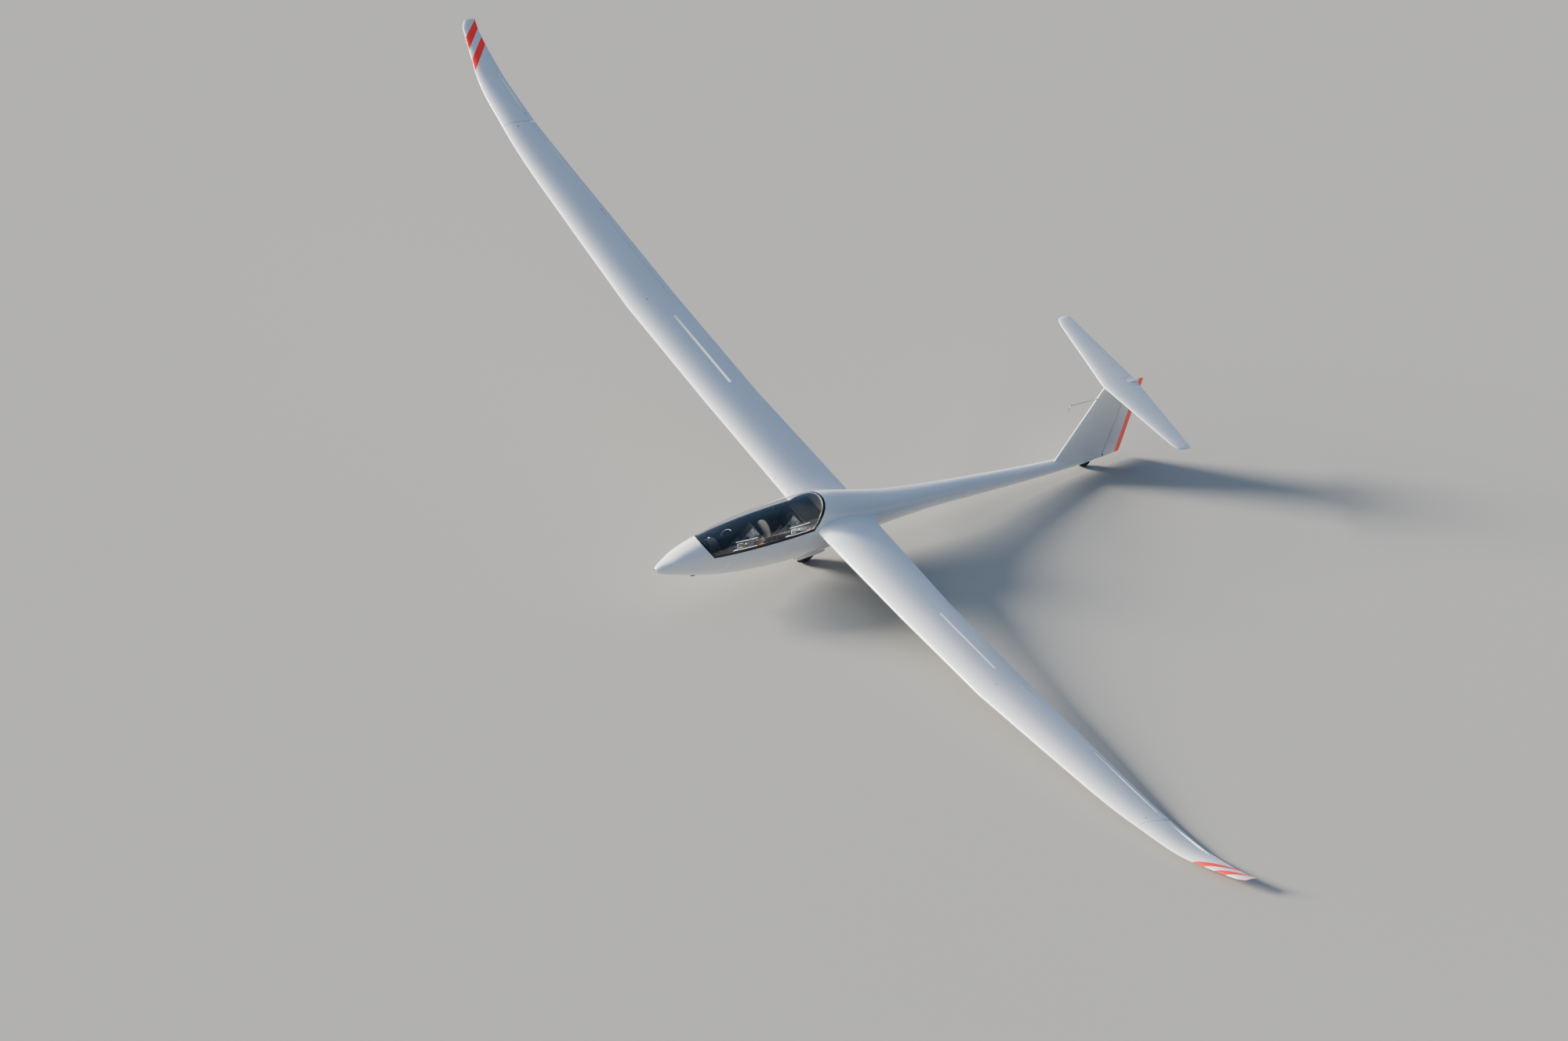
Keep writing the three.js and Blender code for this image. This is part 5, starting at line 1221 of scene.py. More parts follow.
def gap_seal(name, ends, count, skin, upright=False, part=(0.0, 1.0), lift=0.0):
    """A thin strip on the fixed surface that covers the gap ahead of a hinge line.

    ends gives each end's place and nose radius; skin(distance along, x, proud) gives a point of the side;
    part is the share of the strip's width that is made, from front to rear."""
    (start, nose_a), (end, nose_b) = ends
    along_axis = 2 if upright else 1
    rings = []
    for i in range(count + 1):
        t = i / count
        nose = nose_a + t * (nose_b - nose_a)
        hinge = start[0] + t * (end[0] - start[0])
        place = start[along_axis] + t * (end[along_axis] - start[along_axis])
        front, rear = hinge - nose - RUN - SEAL["lap"], hinge - SEAL["rear"] * nose
        xs = [front + (rear - front) * (part[0] + (part[1] - part[0]) * k / 5) for k in range(6)]
        ring = [skin(place, x, lift + (SEAL["proud"] if 0 < k < 5 else 0.0)) for k, x in enumerate(xs)]
        ring += [skin(place, x, -SEAL["sunk"]) for x in reversed(xs)]
        rings.append(ring)
    return loft(name, rings)


def sealed(ends, count, skin, upright=False):
    """A strip of tape over a gap, and behind it a thin dark strip of painted shade where the gap lies."""
    tape = gap_seal("seal", ends, count, skin, upright)
    # The dark strip is painted shade for the gap behind the tape.
    line = gap_seal("line", ends, count, skin, upright, SEAL["line"], SEAL["lift"])
    return [paint(tape, seal_tape), paint(line, panel_black)]


def gap_seals():
    """Tapes over the gaps ahead of the ailerons, the elevators and the rudder, with a strip of painted shade
    behind the aileron and rudder tapes.
    """
    def wing_skin(y, x, proud):
        middle, half = wing_there(y, x)
        return Vector((x, y, middle + side * (half + proud)))

    pieces = []
    for spec in AILERONS.values():
        for side in SIDES.values():
            pieces += sealed(aileron_ends(spec), 24, wing_skin)
    pair(joined("tapes", *pieces), "aileron_gap_seals_{}", "airframe")
    pieces = [gap_seal("seal", elevator_ends(), 12, lambda y, x, proud: Vector(
        (x, y, STAB_HEIGHT + side * (tail_half(STAB, y, x) + proud)))) for side in SIDES.values()]
    pair(paint(joined("tapes", *pieces), seal_tape), "elevator_gap_seals_{}", "airframe")
    ends = [((RUDDER_HINGE, 0, z), tail_half(FIN, z, RUDDER_HINGE)) for z in SEAL["rudder"]]
    pieces = []
    for side in SIDES.values():
        pieces += sealed(ends, 12, lambda z, x, proud: Vector(
            (x, side * (tail_half(FIN, z, x) + proud), z)), True)
    finished(joined("rudder_gap_seals", *pieces), "airframe")


def airbrakes():
    """Each brake's two plates, with holes that lighten them, and the cap on the upper plate."""
    matrix, half = brake_frame()
    count = BRAKE["holes"]
    for level, (front, back), top, deep in (("upper", (-0.009, -0.003), -0.0005, 0.084),
                                            ("lower", (0.003, 0.009), -0.011, 0.078)):
        plate = block((front, -half + RUN, top - deep), (back, half - RUN, top), matrix)
        tongue = block((front + 0.0015, -half - 0.008, top - deep + 0.001),
                       (back - 0.0015, half + 0.008, top - 0.001), matrix)
        combine(plate, tongue, "UNION")
        for i in range(count):
            place = -half + (i + 0.5) * 2 * half / count
            start, end = (matrix @ Vector((x, place, top - 0.46 * deep)) for x in (front - 0.01, back + 0.01))
            combine(plate, rod(start, end, 0.019, sides=28))
        paint(plate, gelcoat)
        if level == "upper":
            edge, ends = BRAKE["cap"] / 2 + RUN - CAP_LINE, half + 2 * RUN - CAP_LINE
            cap = block((-edge, -ends, -0.005), (edge, ends, -0.0003), matrix)
            combine(plate, paint(cap, gelcoat), "UNION")
        node = f"airbrake_{level}_{{}}"
        pair(rounded(plate, 0.0008, 2, 40), node + "_plate", node, node)


def small_airframe_pieces():
    """The fittings and details outside."""
    nose_intake()
    fin_probe()
    tip_skids()
    for place, x in TOW_HOOKS.items():
        tow_hook(f"tow_hook_{place}", x)
    pin_covers()
    panel_seams()
    leading_edge_wipers()
    boom_details()
    gap_seals()
    airbrakes()


# Cockpit

# Seats: half width, and the places in side view that the pan's line follows
SEATS = {
    "front": {"half": 0.215, "knee": (1.060, -0.060), "hip": (1.450, -0.190), "shoulder": (1.800, 0.330)},
    "rear": {"half": 0.225, "knee": (1.960, 0.000), "hip": (2.300, -0.130), "shoulder": (2.535, 0.400)},
}
SEAT_STEPS = 48
PAN_THICK = 0.010
# Cushions and headrests: shares of the seat's line where they start and end
CUSHION = {"from": 0.25, "to": 0.85, "thick": 0.034, "inset": 0.016}
HEADREST = {"from": 0.9, "to": 1.0, "thick": 0.052, "half": 0.086}
STICK = {"behind_knee": 0.118, "lean": 0.022, "bend": 0.060, "top": 0.165}
STICK_HOLE = {"from": 0.070, "to": 0.172, "half": 0.034}
CROSS_SEAMS = (0.36, 0.47, 0.58, 0.68, 0.77)    # shares of the seat's line
LONG_SEAMS = {"front": 0.115, "rear": 0.12, "headrest": 0.055}


def seat_line(seat, count=SEAT_STEPS):
    """The middle of a seat's upper face, from the knees over the hips to the shoulders."""
    (kx, kz), (hx, hz), (sx, sz) = seat["knee"], seat["hip"], seat["shoulder"]
    thigh = (kx + (hx - kx) * 0.55, kz + (hz - kz) * 0.75)
    back = (hx + (sx - hx) * 0.35, hz + (sz - hz) * 0.24)
    return curve_through([Vector((x, 0, z)) for x, z in ((kx, kz), thigh, (hx, hz), back, (sx, sz))], count)


def seat_place(seat, share, across, lift):
    """A place over the seat: a share of the way along it, across it, and above its face."""
    line = seat_line(seat, 200)
    i = min(int(share * 200), 199)
    run = (line[i + 1] - line[i]).normalized()
    place = line[i].lerp(line[i + 1], share * 200 - i)
    return place + Vector((-run.z, 0, run.x)) * lift + Vector((0, across, 0))


def wall_half(point, gap):
    """Half the cockpit's width beside a point, less a gap."""
    return max(0.05, hull_half(point.x, point.z, SKIN) - gap)


def seat_pan(name, seat, room):
    """A dished pan along the seat's line with skirts down to the floor, open for the stick."""
    half, knee = seat["half"], seat["knee"][0]
    side_line = [(half - 0.044, 0), (half - 0.026, 0.003), (half - 0.014, 0.012), (half - 0.010, 0.024),
                 (half - 0.004, 0.028), (half, 0.022), (half, -PAN_THICK)]
    middle = [(-half * 0.4, -0.004), (half * 0.4, -0.004)]
    dish = [(-a, b) for a, b in reversed(side_line)] + middle + side_line
    line = seat_line(seat)
    pan = sweep(f"seat_pan_{name}_shell", line, dish)
    under = [(p.x, p.z - 0.006) for p in line] + [(line[-1].x, BELOW), (line[0].x, BELOW)]
    for low in (half - 0.012, -half):
        combine(pan, side_prism("skirt", under, low, low + 0.012), "UNION")
    hole = block((knee + STICK_HOLE["from"], -STICK_HOLE["half"], BELOW),
                 (knee + STICK_HOLE["to"], STICK_HOLE["half"], 0.06))
    combine(pan, rounded(hole, 0.02, 4))
    combine(pan, room, "INTERSECT", keep=True)
    finished(paint(rounded(pan, 0.0025, 2, 40), interior), "airframe", (f"seat_pan_{name}",))


def puffed(piece, voxel, pressure, limit):
    """Fills a cushion under cloth simulation; no point moves further than the limit."""
    only(piece)
    even = piece.modifiers.new("even", "REMESH")
    even.mode = "VOXEL"
    even.voxel_size = voxel
    bpy.ops.object.modifier_apply(modifier=even.name)
    before = [vert.co.copy() for vert in piece.data.vertices]
    fabric = piece.modifiers.new("fabric", "CLOTH")
    fabric.settings.quality = 4
    fabric.settings.use_pressure = True
    fabric.settings.uniform_pressure_force = pressure
    fabric.settings.effector_weights.gravity = 0
    fabric.point_cache.frame_start = 1
    fabric.point_cache.frame_end = 20
    for number in range(1, 21):
        bpy.context.scene.frame_set(number)
    bpy.ops.object.modifier_apply(modifier=fabric.name)
    bpy.context.scene.frame_set(1)
    for vert, start in zip(piece.data.vertices, before):
        move = vert.co - start
        if move.length > limit:
            vert.co = start + move.normalized() * limit
    return piece


def sewn(piece, seams, deep, wide):
    """Draws a cushion's face down along its seams, each a plane given by a point and a direction."""
    normals = [vert.normal.copy() for vert in piece.data.vertices]
    for vert, normal in zip(piece.data.vertices, normals):
        near = min(abs((vert.co - point).dot(across)) for point, across in seams)
        vert.co -= normal * deep * math.exp(-(near / wide) ** 2)
    return piece


def pad(node, seat, start, end, half, thick, cross, out, count=30):
    """A padded piece along a seat, sewn across at some shares of the seat's line and along both sides."""
    rings = []
    for i in range(count + 1):
        t = i / count
        share = start + t * (end - start)
        below, above = (seat_place(seat, share, 0, lift) for lift in (0.0035, thick))
        width = min(half, wall_half(below, 0.012))
        crown = math.sqrt(max(0.0, 1 - (2 * t - 1) ** 8))
        ring = []
        for angle in (2 * math.pi * (k + 0.5) / 32 for k in range(32)):
            side, rise = squarer(math.cos(angle), 0.35), squarer(math.sin(angle), 0.5)
            lift = (above - below) / 2 * rise * (0.35 + 0.65 * crown)
            ring.append((below + above) / 2 + lift + Vector((0, width * side, 0)))
        rings.append(ring)
    piece = puffed(loft(f"{node}_padding", rings), 0.006, 4.0, 0.006)
    planes = [(Vector((0, y, 0)), Vector((0, 1, 0))) for y in (-out, out)]
    for share in cross:
        here, next_one = seat_place(seat, share, 0, 0), seat_place(seat, share + 0.01, 0, 0)
        planes.append((here, (next_one - here).normalized()))
    subdivided(sewn(piece, planes, 0.007, 0.006))
    finished(paint(piece, cloth), "airframe", (node,), angle=60)


def seat_strap(name, points, side):
    """A strap of webbing on a curve through its points."""
    strap = sweep(name, curve_through(points, 28), flat_band(0.044, 0.0026), side)
    finished(paint(strap, webbing), "airframe", angle=50)


def adjuster(place, run):
    """A small steel frame around a strap."""
    out = Vector((0, 1, 0))
    matrix = frame_at(place, run, out, run.cross(out).normalized())
    ring = block((-0.014, -0.029, -0.0028), (0.014, 0.029, 0.0028), matrix)
    for low in (-0.0105, 0.0015):
        combine(ring, block((low, -0.0235, -0.01), (low + 0.009, 0.0235, 0.01), matrix))
    finished(paint(rounded(ring, 0.001), steel), "airframe")


def harness(name, seat):
    """Two shoulder straps and two lap straps that meet at a round buckle, and one between the legs."""
    def at(share, out, lift):
        return seat_place(seat, share, out, lift)

    over = CUSHION["thick"] + 0.010
    buckle = at(0.47, 0, over + 0.012)
    edge = min(seat["half"] - 0.03, wall_half(at(0.50, 0, over), 0.02))
    for side_name, side in SIDES.items():
        points = [at(0.985, side * 0.075, 0.004), at(0.90, side * 0.082, 0.022), at(0.80, side * 0.080, over),
                  at(0.66, side * 0.062, over), at(0.55, side * 0.036, over + 0.004),
                  buckle + Vector((0, side * 0.020, 0.004))]
        seat_strap(f"shoulder_strap_{name}_{side_name}", points, (0, 1, 0))
        adjuster(points[2].lerp(points[3], 0.6), (points[3] - points[2]).normalized())
        points = [at(0.52, side * edge, 0.012), at(0.51, side * (edge - 0.02), over - 0.004),
                  at(0.48, side * edge * 0.55, over + 0.006), buckle + Vector((0, side * 0.026, 0))]
        seat_strap(f"lap_strap_{name}_{side_name}", points, at(0.49, 0, 0) - at(0.47, 0, 0))
    points = [at(0.26, 0, CUSHION["thick"] * 0.6), at(0.32, 0, over - 0.002), at(0.40, 0, over + 0.002),
              buckle - Vector((0.03, 0, 0))]
    seat_strap(f"crotch_strap_{name}", points, (0, 1, 0))
    run = at(0.48, 0, 0) - at(0.46, 0, 0)
    profile = [(-0.007, 0.026), (-0.005, 0.0285), (0.003, 0.0285), (0.005, 0.026), (0.005, 0.021),
               (0.009, 0.0205), (0.0105, 0.0185)]
    disc = turned(f"harness_buckle_{name}", profile, buckle, Vector((-run.z, 0, run.x)).normalized(), 40)
    key = block((-0.004, -0.017, 0.009), (0.004, 0.017, 0.0145),
                Matrix.Translation(buckle) @ basis(run, Vector((0, 1, 0))).to_4x4())
    combine(disc, rounded(key, 0.001), "UNION")
    finished(paint(disc, steel), "airframe")


# Instrument panels

PANELS = {
    "front": {"x": 0.990, "thick": 0.032, "half": 0.190, "shoulder": 0.170, "crown": 0.330, "foot": 0.062,
              "radio": 0.036},
    "rear": {"x": 1.900, "thick": 0.030, "half": 0.175, "shoulder": 0.300, "crown": 0.470, "foot": 0.050,
             "radio": 0.042},
}
DIALS = {  # across, above the shoulder line, radius, the pointer's turn
    "front": [(0.0, 0.100, 0.030, 20), (-0.076, 0.062, 0.030, 150), (0.076, 0.062, 0.030, 260),
              (-0.145, 0.000, 0.024, 80), (0.145, 0.000, 0.024, 310), (-0.078, -0.008, 0.019, 190),
              (0.078, -0.008, 0.019, 45)],
    "rear": [(0.0, 0.118, 0.030, 20), (-0.072, 0.078, 0.030, 150), (0.072, 0.078, 0.030, 260),
             (-0.132, 0.006, 0.024, 80), (0.132, 0.006, 0.024, 310)],
}
HOOD = {"x": 0.860, "half": 0.150, "shoulder": 0.200, "crown": 0.325, "from": 0.150}

# The stick's grip and its gaiter: distance along the axis and radius
GRIP = [(-0.012, 0.0105), (0.0, 0.0150), (0.010, 0.0170), (0.024, 0.0158), (0.036, 0.0170), (0.050, 0.0155),
        (0.064, 0.0166), (0.080, 0.0152), (0.095, 0.0150), (0.102, 0.0125), (0.105, 0.008)]
GAITER = [(0.000, 0.0330), (0.003, 0.0335), (0.012, 0.0290), (0.020, 0.0305), (0.028, 0.0235),
          (0.036, 0.0250), (0.044, 0.0180), (0.052, 0.0195), (0.060, 0.0135), (0.068, 0.0140),
          (0.074, 0.0112)]


def panel_outline(panel, foot=None):
    """A panel's outline from ahead: a pedestal that opens into a round arch."""
    half, shoulder, crown = panel["half"], panel["shoulder"], panel["crown"]
    foot = foot or panel["foot"]
    arch = [(half * math.cos(i * math.pi / 32), shoulder + (crown - shoulder) * math.sin(i * math.pi / 32))
            for i in range(33)]
    neck, hip = shoulder - 0.07, shoulder - 0.03
    start = [(-foot, BELOW), (foot, BELOW), (foot, neck), (half, hip)]
    return start + arch + [(-half, hip), (-foot, neck)]


def dial(x, y, z, radius, reading):
    """A round instrument: bezel with a sunk face, tick marks and a pointer."""
    rim = radius - 0.006
    profile = [(-0.004, radius), (0.005, radius), (0.0065, radius - 0.0015), (0.0065, radius - 0.003),
               (0.002, radius - 0.0045), (0.0018, radius * 0.25)]
    bezel = paint(turned("bezel", profile, (x, y, z), (1, 0, 0), 40), panel_black)
    centre = Matrix.Translation((x + 0.002, y, z))
    marks = []
    for i in range(12):
        matrix = centre @ Matrix.Rotation(2 * math.pi * i / 12, 4, "X")
        long = 0.006 if i % 3 == 0 else 0.0035
        marks.append(block((0, -0.0006, rim - long), (0.0006, 0.0006, rim), matrix))
    matrix = centre @ Matrix.Rotation(math.radians(reading), 4, "X")
    marks.append(block((0.001, -0.0009, -radius * 0.2), (0.0018, 0.0009, radius * 0.66), matrix))
    boss = [(0, 0.003), (0.003, 0.003), (0.0035, 0.0022)]
    marks.append(turned("boss", boss, (x + 0.002, y, z), (1, 0, 0), 16))
    return joined("dial", bezel, *[paint(mark, white_plastic) for mark in marks])


def instrument_panel(name, room):
    """A panel on its pedestal, the front one under a hood, with its dials, radio and switches."""
    spec = PANELS[name]
    shoulder, face = spec["shoulder"], spec["x"] + spec["thick"]
    board = front_prism(f"instrument_panel_{name}_board", panel_outline(spec), spec["x"], face)
    if name == "front":
        hood = front_prism("hood", panel_outline(HOOD, 0.04), HOOD["x"], face + 0.022)
        combine(hood, block((HOOD["x"], -0.15, HOOD["from"]), (face, 0.15, 1.0)), "INTERSECT")
        combine(board, hood, "UNION")
    combine(board, room, "INTERSECT", keep=True)
    rounded(board, 0.005, 3, 40)
    finished(paint(board, panel_black), "airframe", (f"instrument_panel_{name}",))
    dials = [dial(face - 0.001, y, shoulder + up, radius, reading) for y, up, radius, reading in DIALS[name]]
    finished(joined(f"dials_{name}", *dials), "airframe")
    finished(joined(f"radio_{name}", *radio(face, shoulder + spec["radio"])), "airframe")
    switches = [switch((face - 0.001, (i - 2) * 0.017, shoulder - 0.034)) for i in range(5)]
    finished(joined(f"switches_{name}", *switches), "airframe")


def radio(face, level):
    """The radio's case, its window and its two knobs."""
    case = rounded(block((face - 0.004, -0.040, level - 0.016), (face + 0.006, 0.040, level + 0.016)), 0.002)
    window = block((face + 0.0055, -0.020, level - 0.008), (face + 0.0066, 0.020, level + 0.008))
    profile = [(0, 0.0065), (0.012, 0.006), (0.014, 0.0045)]
    knobs = [turned("knob", profile, (face + 0.005, y, level), (1, 0, 0), 20) for y in (-0.031, 0.031)]
    return [paint(case, panel_black), paint(window, display_green)] + [paint(knob, steel) for knob in knobs]


def switch(place):
    """A toggle switch on its six-sided nut."""
    base = turned("base", [(0, 0.0055), (0.003, 0.0055), (0.004, 0.004)], place, (1, 0, 0), 6)
    lever = turned("lever", [(0.003, 0.0016), (0.014, 0.0023), (0.016, 0.0016)], place, (1, 0, 0.5), 12)
    return paint(joined("switch", base, lever), steel)


def control_stick(name, seat, room):
    """The stick, with its gaiter over the hole in the pan, a shaped grip and a button."""
    foot = seat["knee"][0] + STICK["behind_knee"]
    bend = foot - STICK["lean"]
    middle, top = Vector((bend, 0, STICK["bend"])), Vector((bend - 0.008, 0, STICK["top"]))
    grip = turned("grip", GRIP, middle, top - middle, 36)
    shaft = rod((foot, 0, -0.42), middle, 0.0095, sides=28)
    stick = joined(f"control_stick_{name}_column", shaft, grip)
    combine(stick, room, "INTERSECT", keep=True)
    finished(paint(stick, panel_black), "airframe", (f"control_stick_{name}",), angle=60)
    tip = middle + (top - middle).normalized() * 0.1045
    profile = [(0, 0.0058), (0.004, 0.0058), (0.006, 0.0040)]
    button = turned(f"stick_button_{name}", profile, tip, top - middle, 24)
    finished(paint(button, knob_red), "airframe")
    deck = next(p.z for p in seat_line(seat, 100) if p.x >= foot)
    gaiter = turned(f"stick_gaiter_{name}", GAITER, (foot - 0.004, 0, deck + 0.001), (-0.08, 0, 1), 40)
    finished(paint(subdivided(gaiter), skid_black), "airframe", angle=60)


# Side consoles, levers and pedals

CONSOLE = {"from": 1.120, "to": 2.470, "inner": 0.232, "outer": 0.420, "top": 0.118, "shelf": 0.030,
           "skirt": 0.012, "bottom": 0.060, "trays": (1.225, 1.62, 2.05)}
LEVERS = [  # name, station, across, how far it leans, how tall, the knob's material, the knob's radius
    ("airbrake_lever_front", 1.330, 0.258, -0.030, 0.085, "blue", 0.0155),
    ("trim_lever_front", 1.470, 0.262, 0.018, 0.050, "green", 0.0105),
    ("airbrake_lever_rear", 2.170, 0.268, -0.030, 0.085, "blue", 0.0155),
    ("trim_lever_rear", 2.300, 0.270, 0.018, 0.050, "green", 0.0105),
    ("gear_lever_front", 1.400, -0.258, -0.026, 0.075, "black", 0.0140),
    ("gear_lever_rear", 2.230, -0.268, -0.026, 0.075, "black", 0.0140),
]
COMPASS = ((0.965, 0.095, 0.2965), (0, 0.15, 1))
GOOSENECK = [(1.372, 0.262, 0.112), (1.360, 0.250, 0.190), (1.368, 0.225, 0.258), (1.400, 0.195, 0.292),
             (1.436, 0.172, 0.283)]
PEDALS = {"x": 0.640, "out": 0.078, "height": -0.110, "post": 0.120, "pad_half": 0.042, "pad_foot": 0.010,
          "pad_top": 0.096}


def consoles(room):
    """A shelf along each side with a skirt below it and three trays in its top."""
    front, rear, inner, outer, top = (CONSOLE[k] for k in ("from", "to", "inner", "outer", "top"))
    for side_name, side in SIDES.items():
        def box(low, high, inner, outer, bottom, top):
            near, far = sorted((side * inner, side * outer))
            return block((low, near, bottom), (high, far, top))

        shelf = box(front, rear, inner, outer, top - CONSOLE["shelf"], top)
        skirt = box(front, rear, inner + CONSOLE["skirt"], outer, CONSOLE["bottom"], top - 0.01)
        combine(shelf, skirt, "UNION")
        combine(shelf, room, "INTERSECT", keep=True)
        for station in CONSOLE["trays"]:
            tray = box(station - 0.045, station + 0.045, 0.245, 0.272, top - 0.012, top + 0.02)
            combine(shelf, rounded(tray, 0.004, 3))
        name_piece(rounded(shelf, 0.003, 3, 40), f"side_console_{side_name}_shelf")
        finished(paint(shelf, interior), "airframe", (f"side_console_{side_name}",))


def levers():
    """The levers that stand on the consoles, each with its slotted plate and knob."""
    colours = {"blue": knob_blue, "green": knob_green, "black": panel_black}
    for name, station, across, lean, tall, colour, radius in LEVERS:
        foot = Vector((station, -across, CONSOLE["top"]))
        top = foot + Vector((lean, 0.006 if across > 0 else -0.006, tall))
        plate = rounded(block((station - 0.042, foot.y - 0.008, foot.z - 0.002),
                              (station + 0.042, foot.y + 0.008, foot.z + 0.0022)), 0.001)
        arm = rod(foot - (top - foot) * 0.05, top, 0.0042, sides=18)
        profile = [(-radius * 0.9, radius * 0.45), (-radius * 0.6, radius * 0.8), (0, radius),
                   (radius * 0.6, radius * 0.82), (radius * 0.95, radius * 0.3)]
        knob = turned("knob", profile, top, top - foot, 28)
        whole = joined(name, paint(plate, panel_black), paint(arm, steel), paint(knob, colours[colour]))
        finished(whole, "airframe", angle=50)


def release_handles():
    """A yellow tow release pull in front of each seat."""
    for name, y, z in (("front", -0.060, 0.128), ("rear", -0.030, 0.245)):
        x = PANELS[name]["x"] + PANELS[name]["thick"]
        stem = turned("stem", [(-0.004, 0.0035), (0.022, 0.0035)], (x, y, z), (1, 0, 0), 14)
        line = curve_through([(x + 0.024, y - 0.022, z), (x + 0.027, y, z), (x + 0.024, y + 0.022, z)], 12)
        grip = sweep("grip", line, circle(0.0055, 14), (0, 0, 1))
        pull = paint(joined(f"release_handle_{name}", stem, grip), knob_yellow)
        finished(pull, "airframe", angle=50)


def compass_and_tube():
    """The small compass on the front hood, and the curved white tube beside the front seat."""
    base = turned("base", [(0, 0.016), (0.004, 0.016), (0.010, 0.010)], *COMPASS, 32)
    profile = [(0.008, 0.009), (0.010, 0.0115), (0.014, 0.0130), (0.018, 0.0120), (0.022, 0.0080),
               (0.0235, 0.003)]
    ball = turned("ball", profile, *COMPASS, 32)
    whole = joined("compass", paint(base, panel_black), paint(ball, white_plastic))
    finished(whole, "airframe", angle=50)
    tube = sweep("gooseneck", curve_through(GOOSENECK, 30),
                 lambda t: circle(0.0048 if t < 0.86 else 0.0085, 14), (0, 0.4, 0.1))
    finished(paint(tube, white_plastic), "airframe", angle=50)


def pedals(room):
    """Two ribbed pedals on arms, a bar through them and two posts to the floor, as one assembly."""
    x, height, foot, top = (PEDALS[k] for k in ("x", "height", "pad_foot", "pad_top"))
    whole = name_piece(cross_rod(x, height, -0.13, 0.13, 0.009, 24), "rudder_pedals_assembly")
    for side in (-1, 1):
        out, post = side * PEDALS["out"], side * PEDALS["post"]
        arm = block((x - 0.005, out - 0.008, height - 0.005), (x + 0.005, out + 0.008, foot + 0.03))
        stand = block((x - 0.007, post - 0.007, BELOW), (x + 0.007, post + 0.007, height + 0.002))
        plate = block((x - 0.008, out - PEDALS["pad_half"], foot), (x + 0.008, out + PEDALS["pad_half"], top))
        rounded(plate, 0.006, 3)
        for z in (foot + 0.013 + i * 0.012 for i in range(6)):
            combine(plate, block((x + 0.006, out - 0.036, z), (x + 0.02, out + 0.036, z + 0.005)))
        for bar in (arm, stand, plate):
            combine(whole, bar, "UNION")
    combine(whole, room, "INTERSECT", keep=True)
    finished(paint(rounded(whole, 0.0008, 1, 50), steel), "airframe", ("rudder_pedals",))


def cockpit():
    """All that is inside the fuselage."""
    room = cockpit_space(gap=SEAT, ends=0.001)
    for name, seat in SEATS.items():
        seat_pan(name, seat, room)
        pad(f"seat_cushion_{name}", seat, CUSHION["from"], CUSHION["to"],
            seat["half"] - CUSHION["inset"] - 0.006, CUSHION["thick"], CROSS_SEAMS, LONG_SEAMS[name])
        pad(f"headrest_{name}", seat, HEADREST["from"], HEADREST["to"] - 0.004, HEADREST["half"],
            HEADREST["thick"], (), LONG_SEAMS["headrest"], 14)
        harness(name, seat)
        instrument_panel(name, room)
        control_stick(name, seat, room)
    consoles(room)
    levers()
    release_handles()
    compass_and_tube()
    pedals(room)
    bpy.data.objects.remove(room)


# Landing gear

WHEELS = {
    "main": {"place": MAIN_WHEEL, "radius": 0.190, "half": 0.073, "rim": 0.092, "axle": 0.012, "sides": 96,
             "grooves": (-0.042, -0.021, 0.0, 0.021, 0.042), "groove": 0.005, "deep": 0.005, "holes": 8},
    "nose": {"place": Vector((0.812, 0.0, -0.193)), "radius": 0.100, "half": 0.026, "rim": 0.052,
             "axle": 0.008, "sides": 72, "grooves": (-0.010, 0.010), "groove": 0.003, "deep": 0.003,
             "holes": 5},
    "tail": {"place": TAIL_WHEEL, "radius": 0.105, "half": 0.030, "rim": 0.056, "axle": 0.008, "sides": 72,
             "grooves": (-0.012, 0.0, 0.012), "groove": 0.003, "deep": 0.003, "holes": 5},
}
FORK = {"top": (2.716, 0.0), "arm": 0.084, "plate": 0.009, "cross": 0.016, "strut_top": (3.120, 0.006),
        "strut_cross": 0.012, "strut": 0.009, "strut_out": 0.012, "foot": (0.020, 0.030), "foot_boss": 0.014,
        "axle_boss": 0.019, "axle_reach": 0.020}
WELL = dict(zip(("from", "to", "half"), WELLS["main"]))
TYRE_FLAT = 0.001       # how far the tread stays inside the wheel's radius
DOOR = {"swing": math.radians(84), "thick": 0.006, "edge": 0.1115, "ends": 0.008, "middle": 0.002,
        "drop": 0.0063}


def tyre(name):
    """A tyre with rounded beads, a round tread and grooves, spun about its axle."""
    wheel = WHEELS[name]
    half, radius, rim, groove = wheel["half"], wheel["radius"], wheel["rim"], wheel["groove"]
    belly = (radius + rim) / 2 + 0.004

    def crown(y):
        cosine = min(1.0, (abs(y) / half) ** (1 / 0.75))
        return belly + (radius - belly) * math.sqrt(1 - cosine ** 2) ** 0.9

    places = {round(half * math.sin(i * math.pi / 40), 5): 0.0 for i in range(-19, 20)}
    for middle in wheel["grooves"]:
        places = {y: deep for y, deep in places.items() if abs(y - middle) > groove * 0.6 + 0.0004}
        for step, deep in ((-0.5, 0.0), (-0.38, 1.0), (0.38, 1.0), (0.5, 0.0)):
            places[middle + step * groove] = deep * wheel["deep"]
    tread = [(crown(y) - deep, y) for y, deep in sorted(places.items(), reverse=True)]
    edge = [(rim, half * 0.62), (rim + 0.002, half * 0.72), (rim + 0.006, half * 0.84),
            (rim + 0.010, half * 0.86), (rim + 0.0125, half * 0.88), (rim + 0.016, half * 0.93),
            (belly - 0.004, half * 0.985), (belly, half)]
    outline = [(r - TYRE_FLAT * max(0, r - rim) / (radius - rim), y)
               for r, y in edge + tread + [(r, -y) for r, y in reversed(edge)]]
    piece = spun(f"{name}_tyre_rubber", outline, wheel["place"], wheel["sides"])
    finished(paint(piece, dark_rubber), f"{name}_wheel", (f"{name}_tyre",), angle=28)


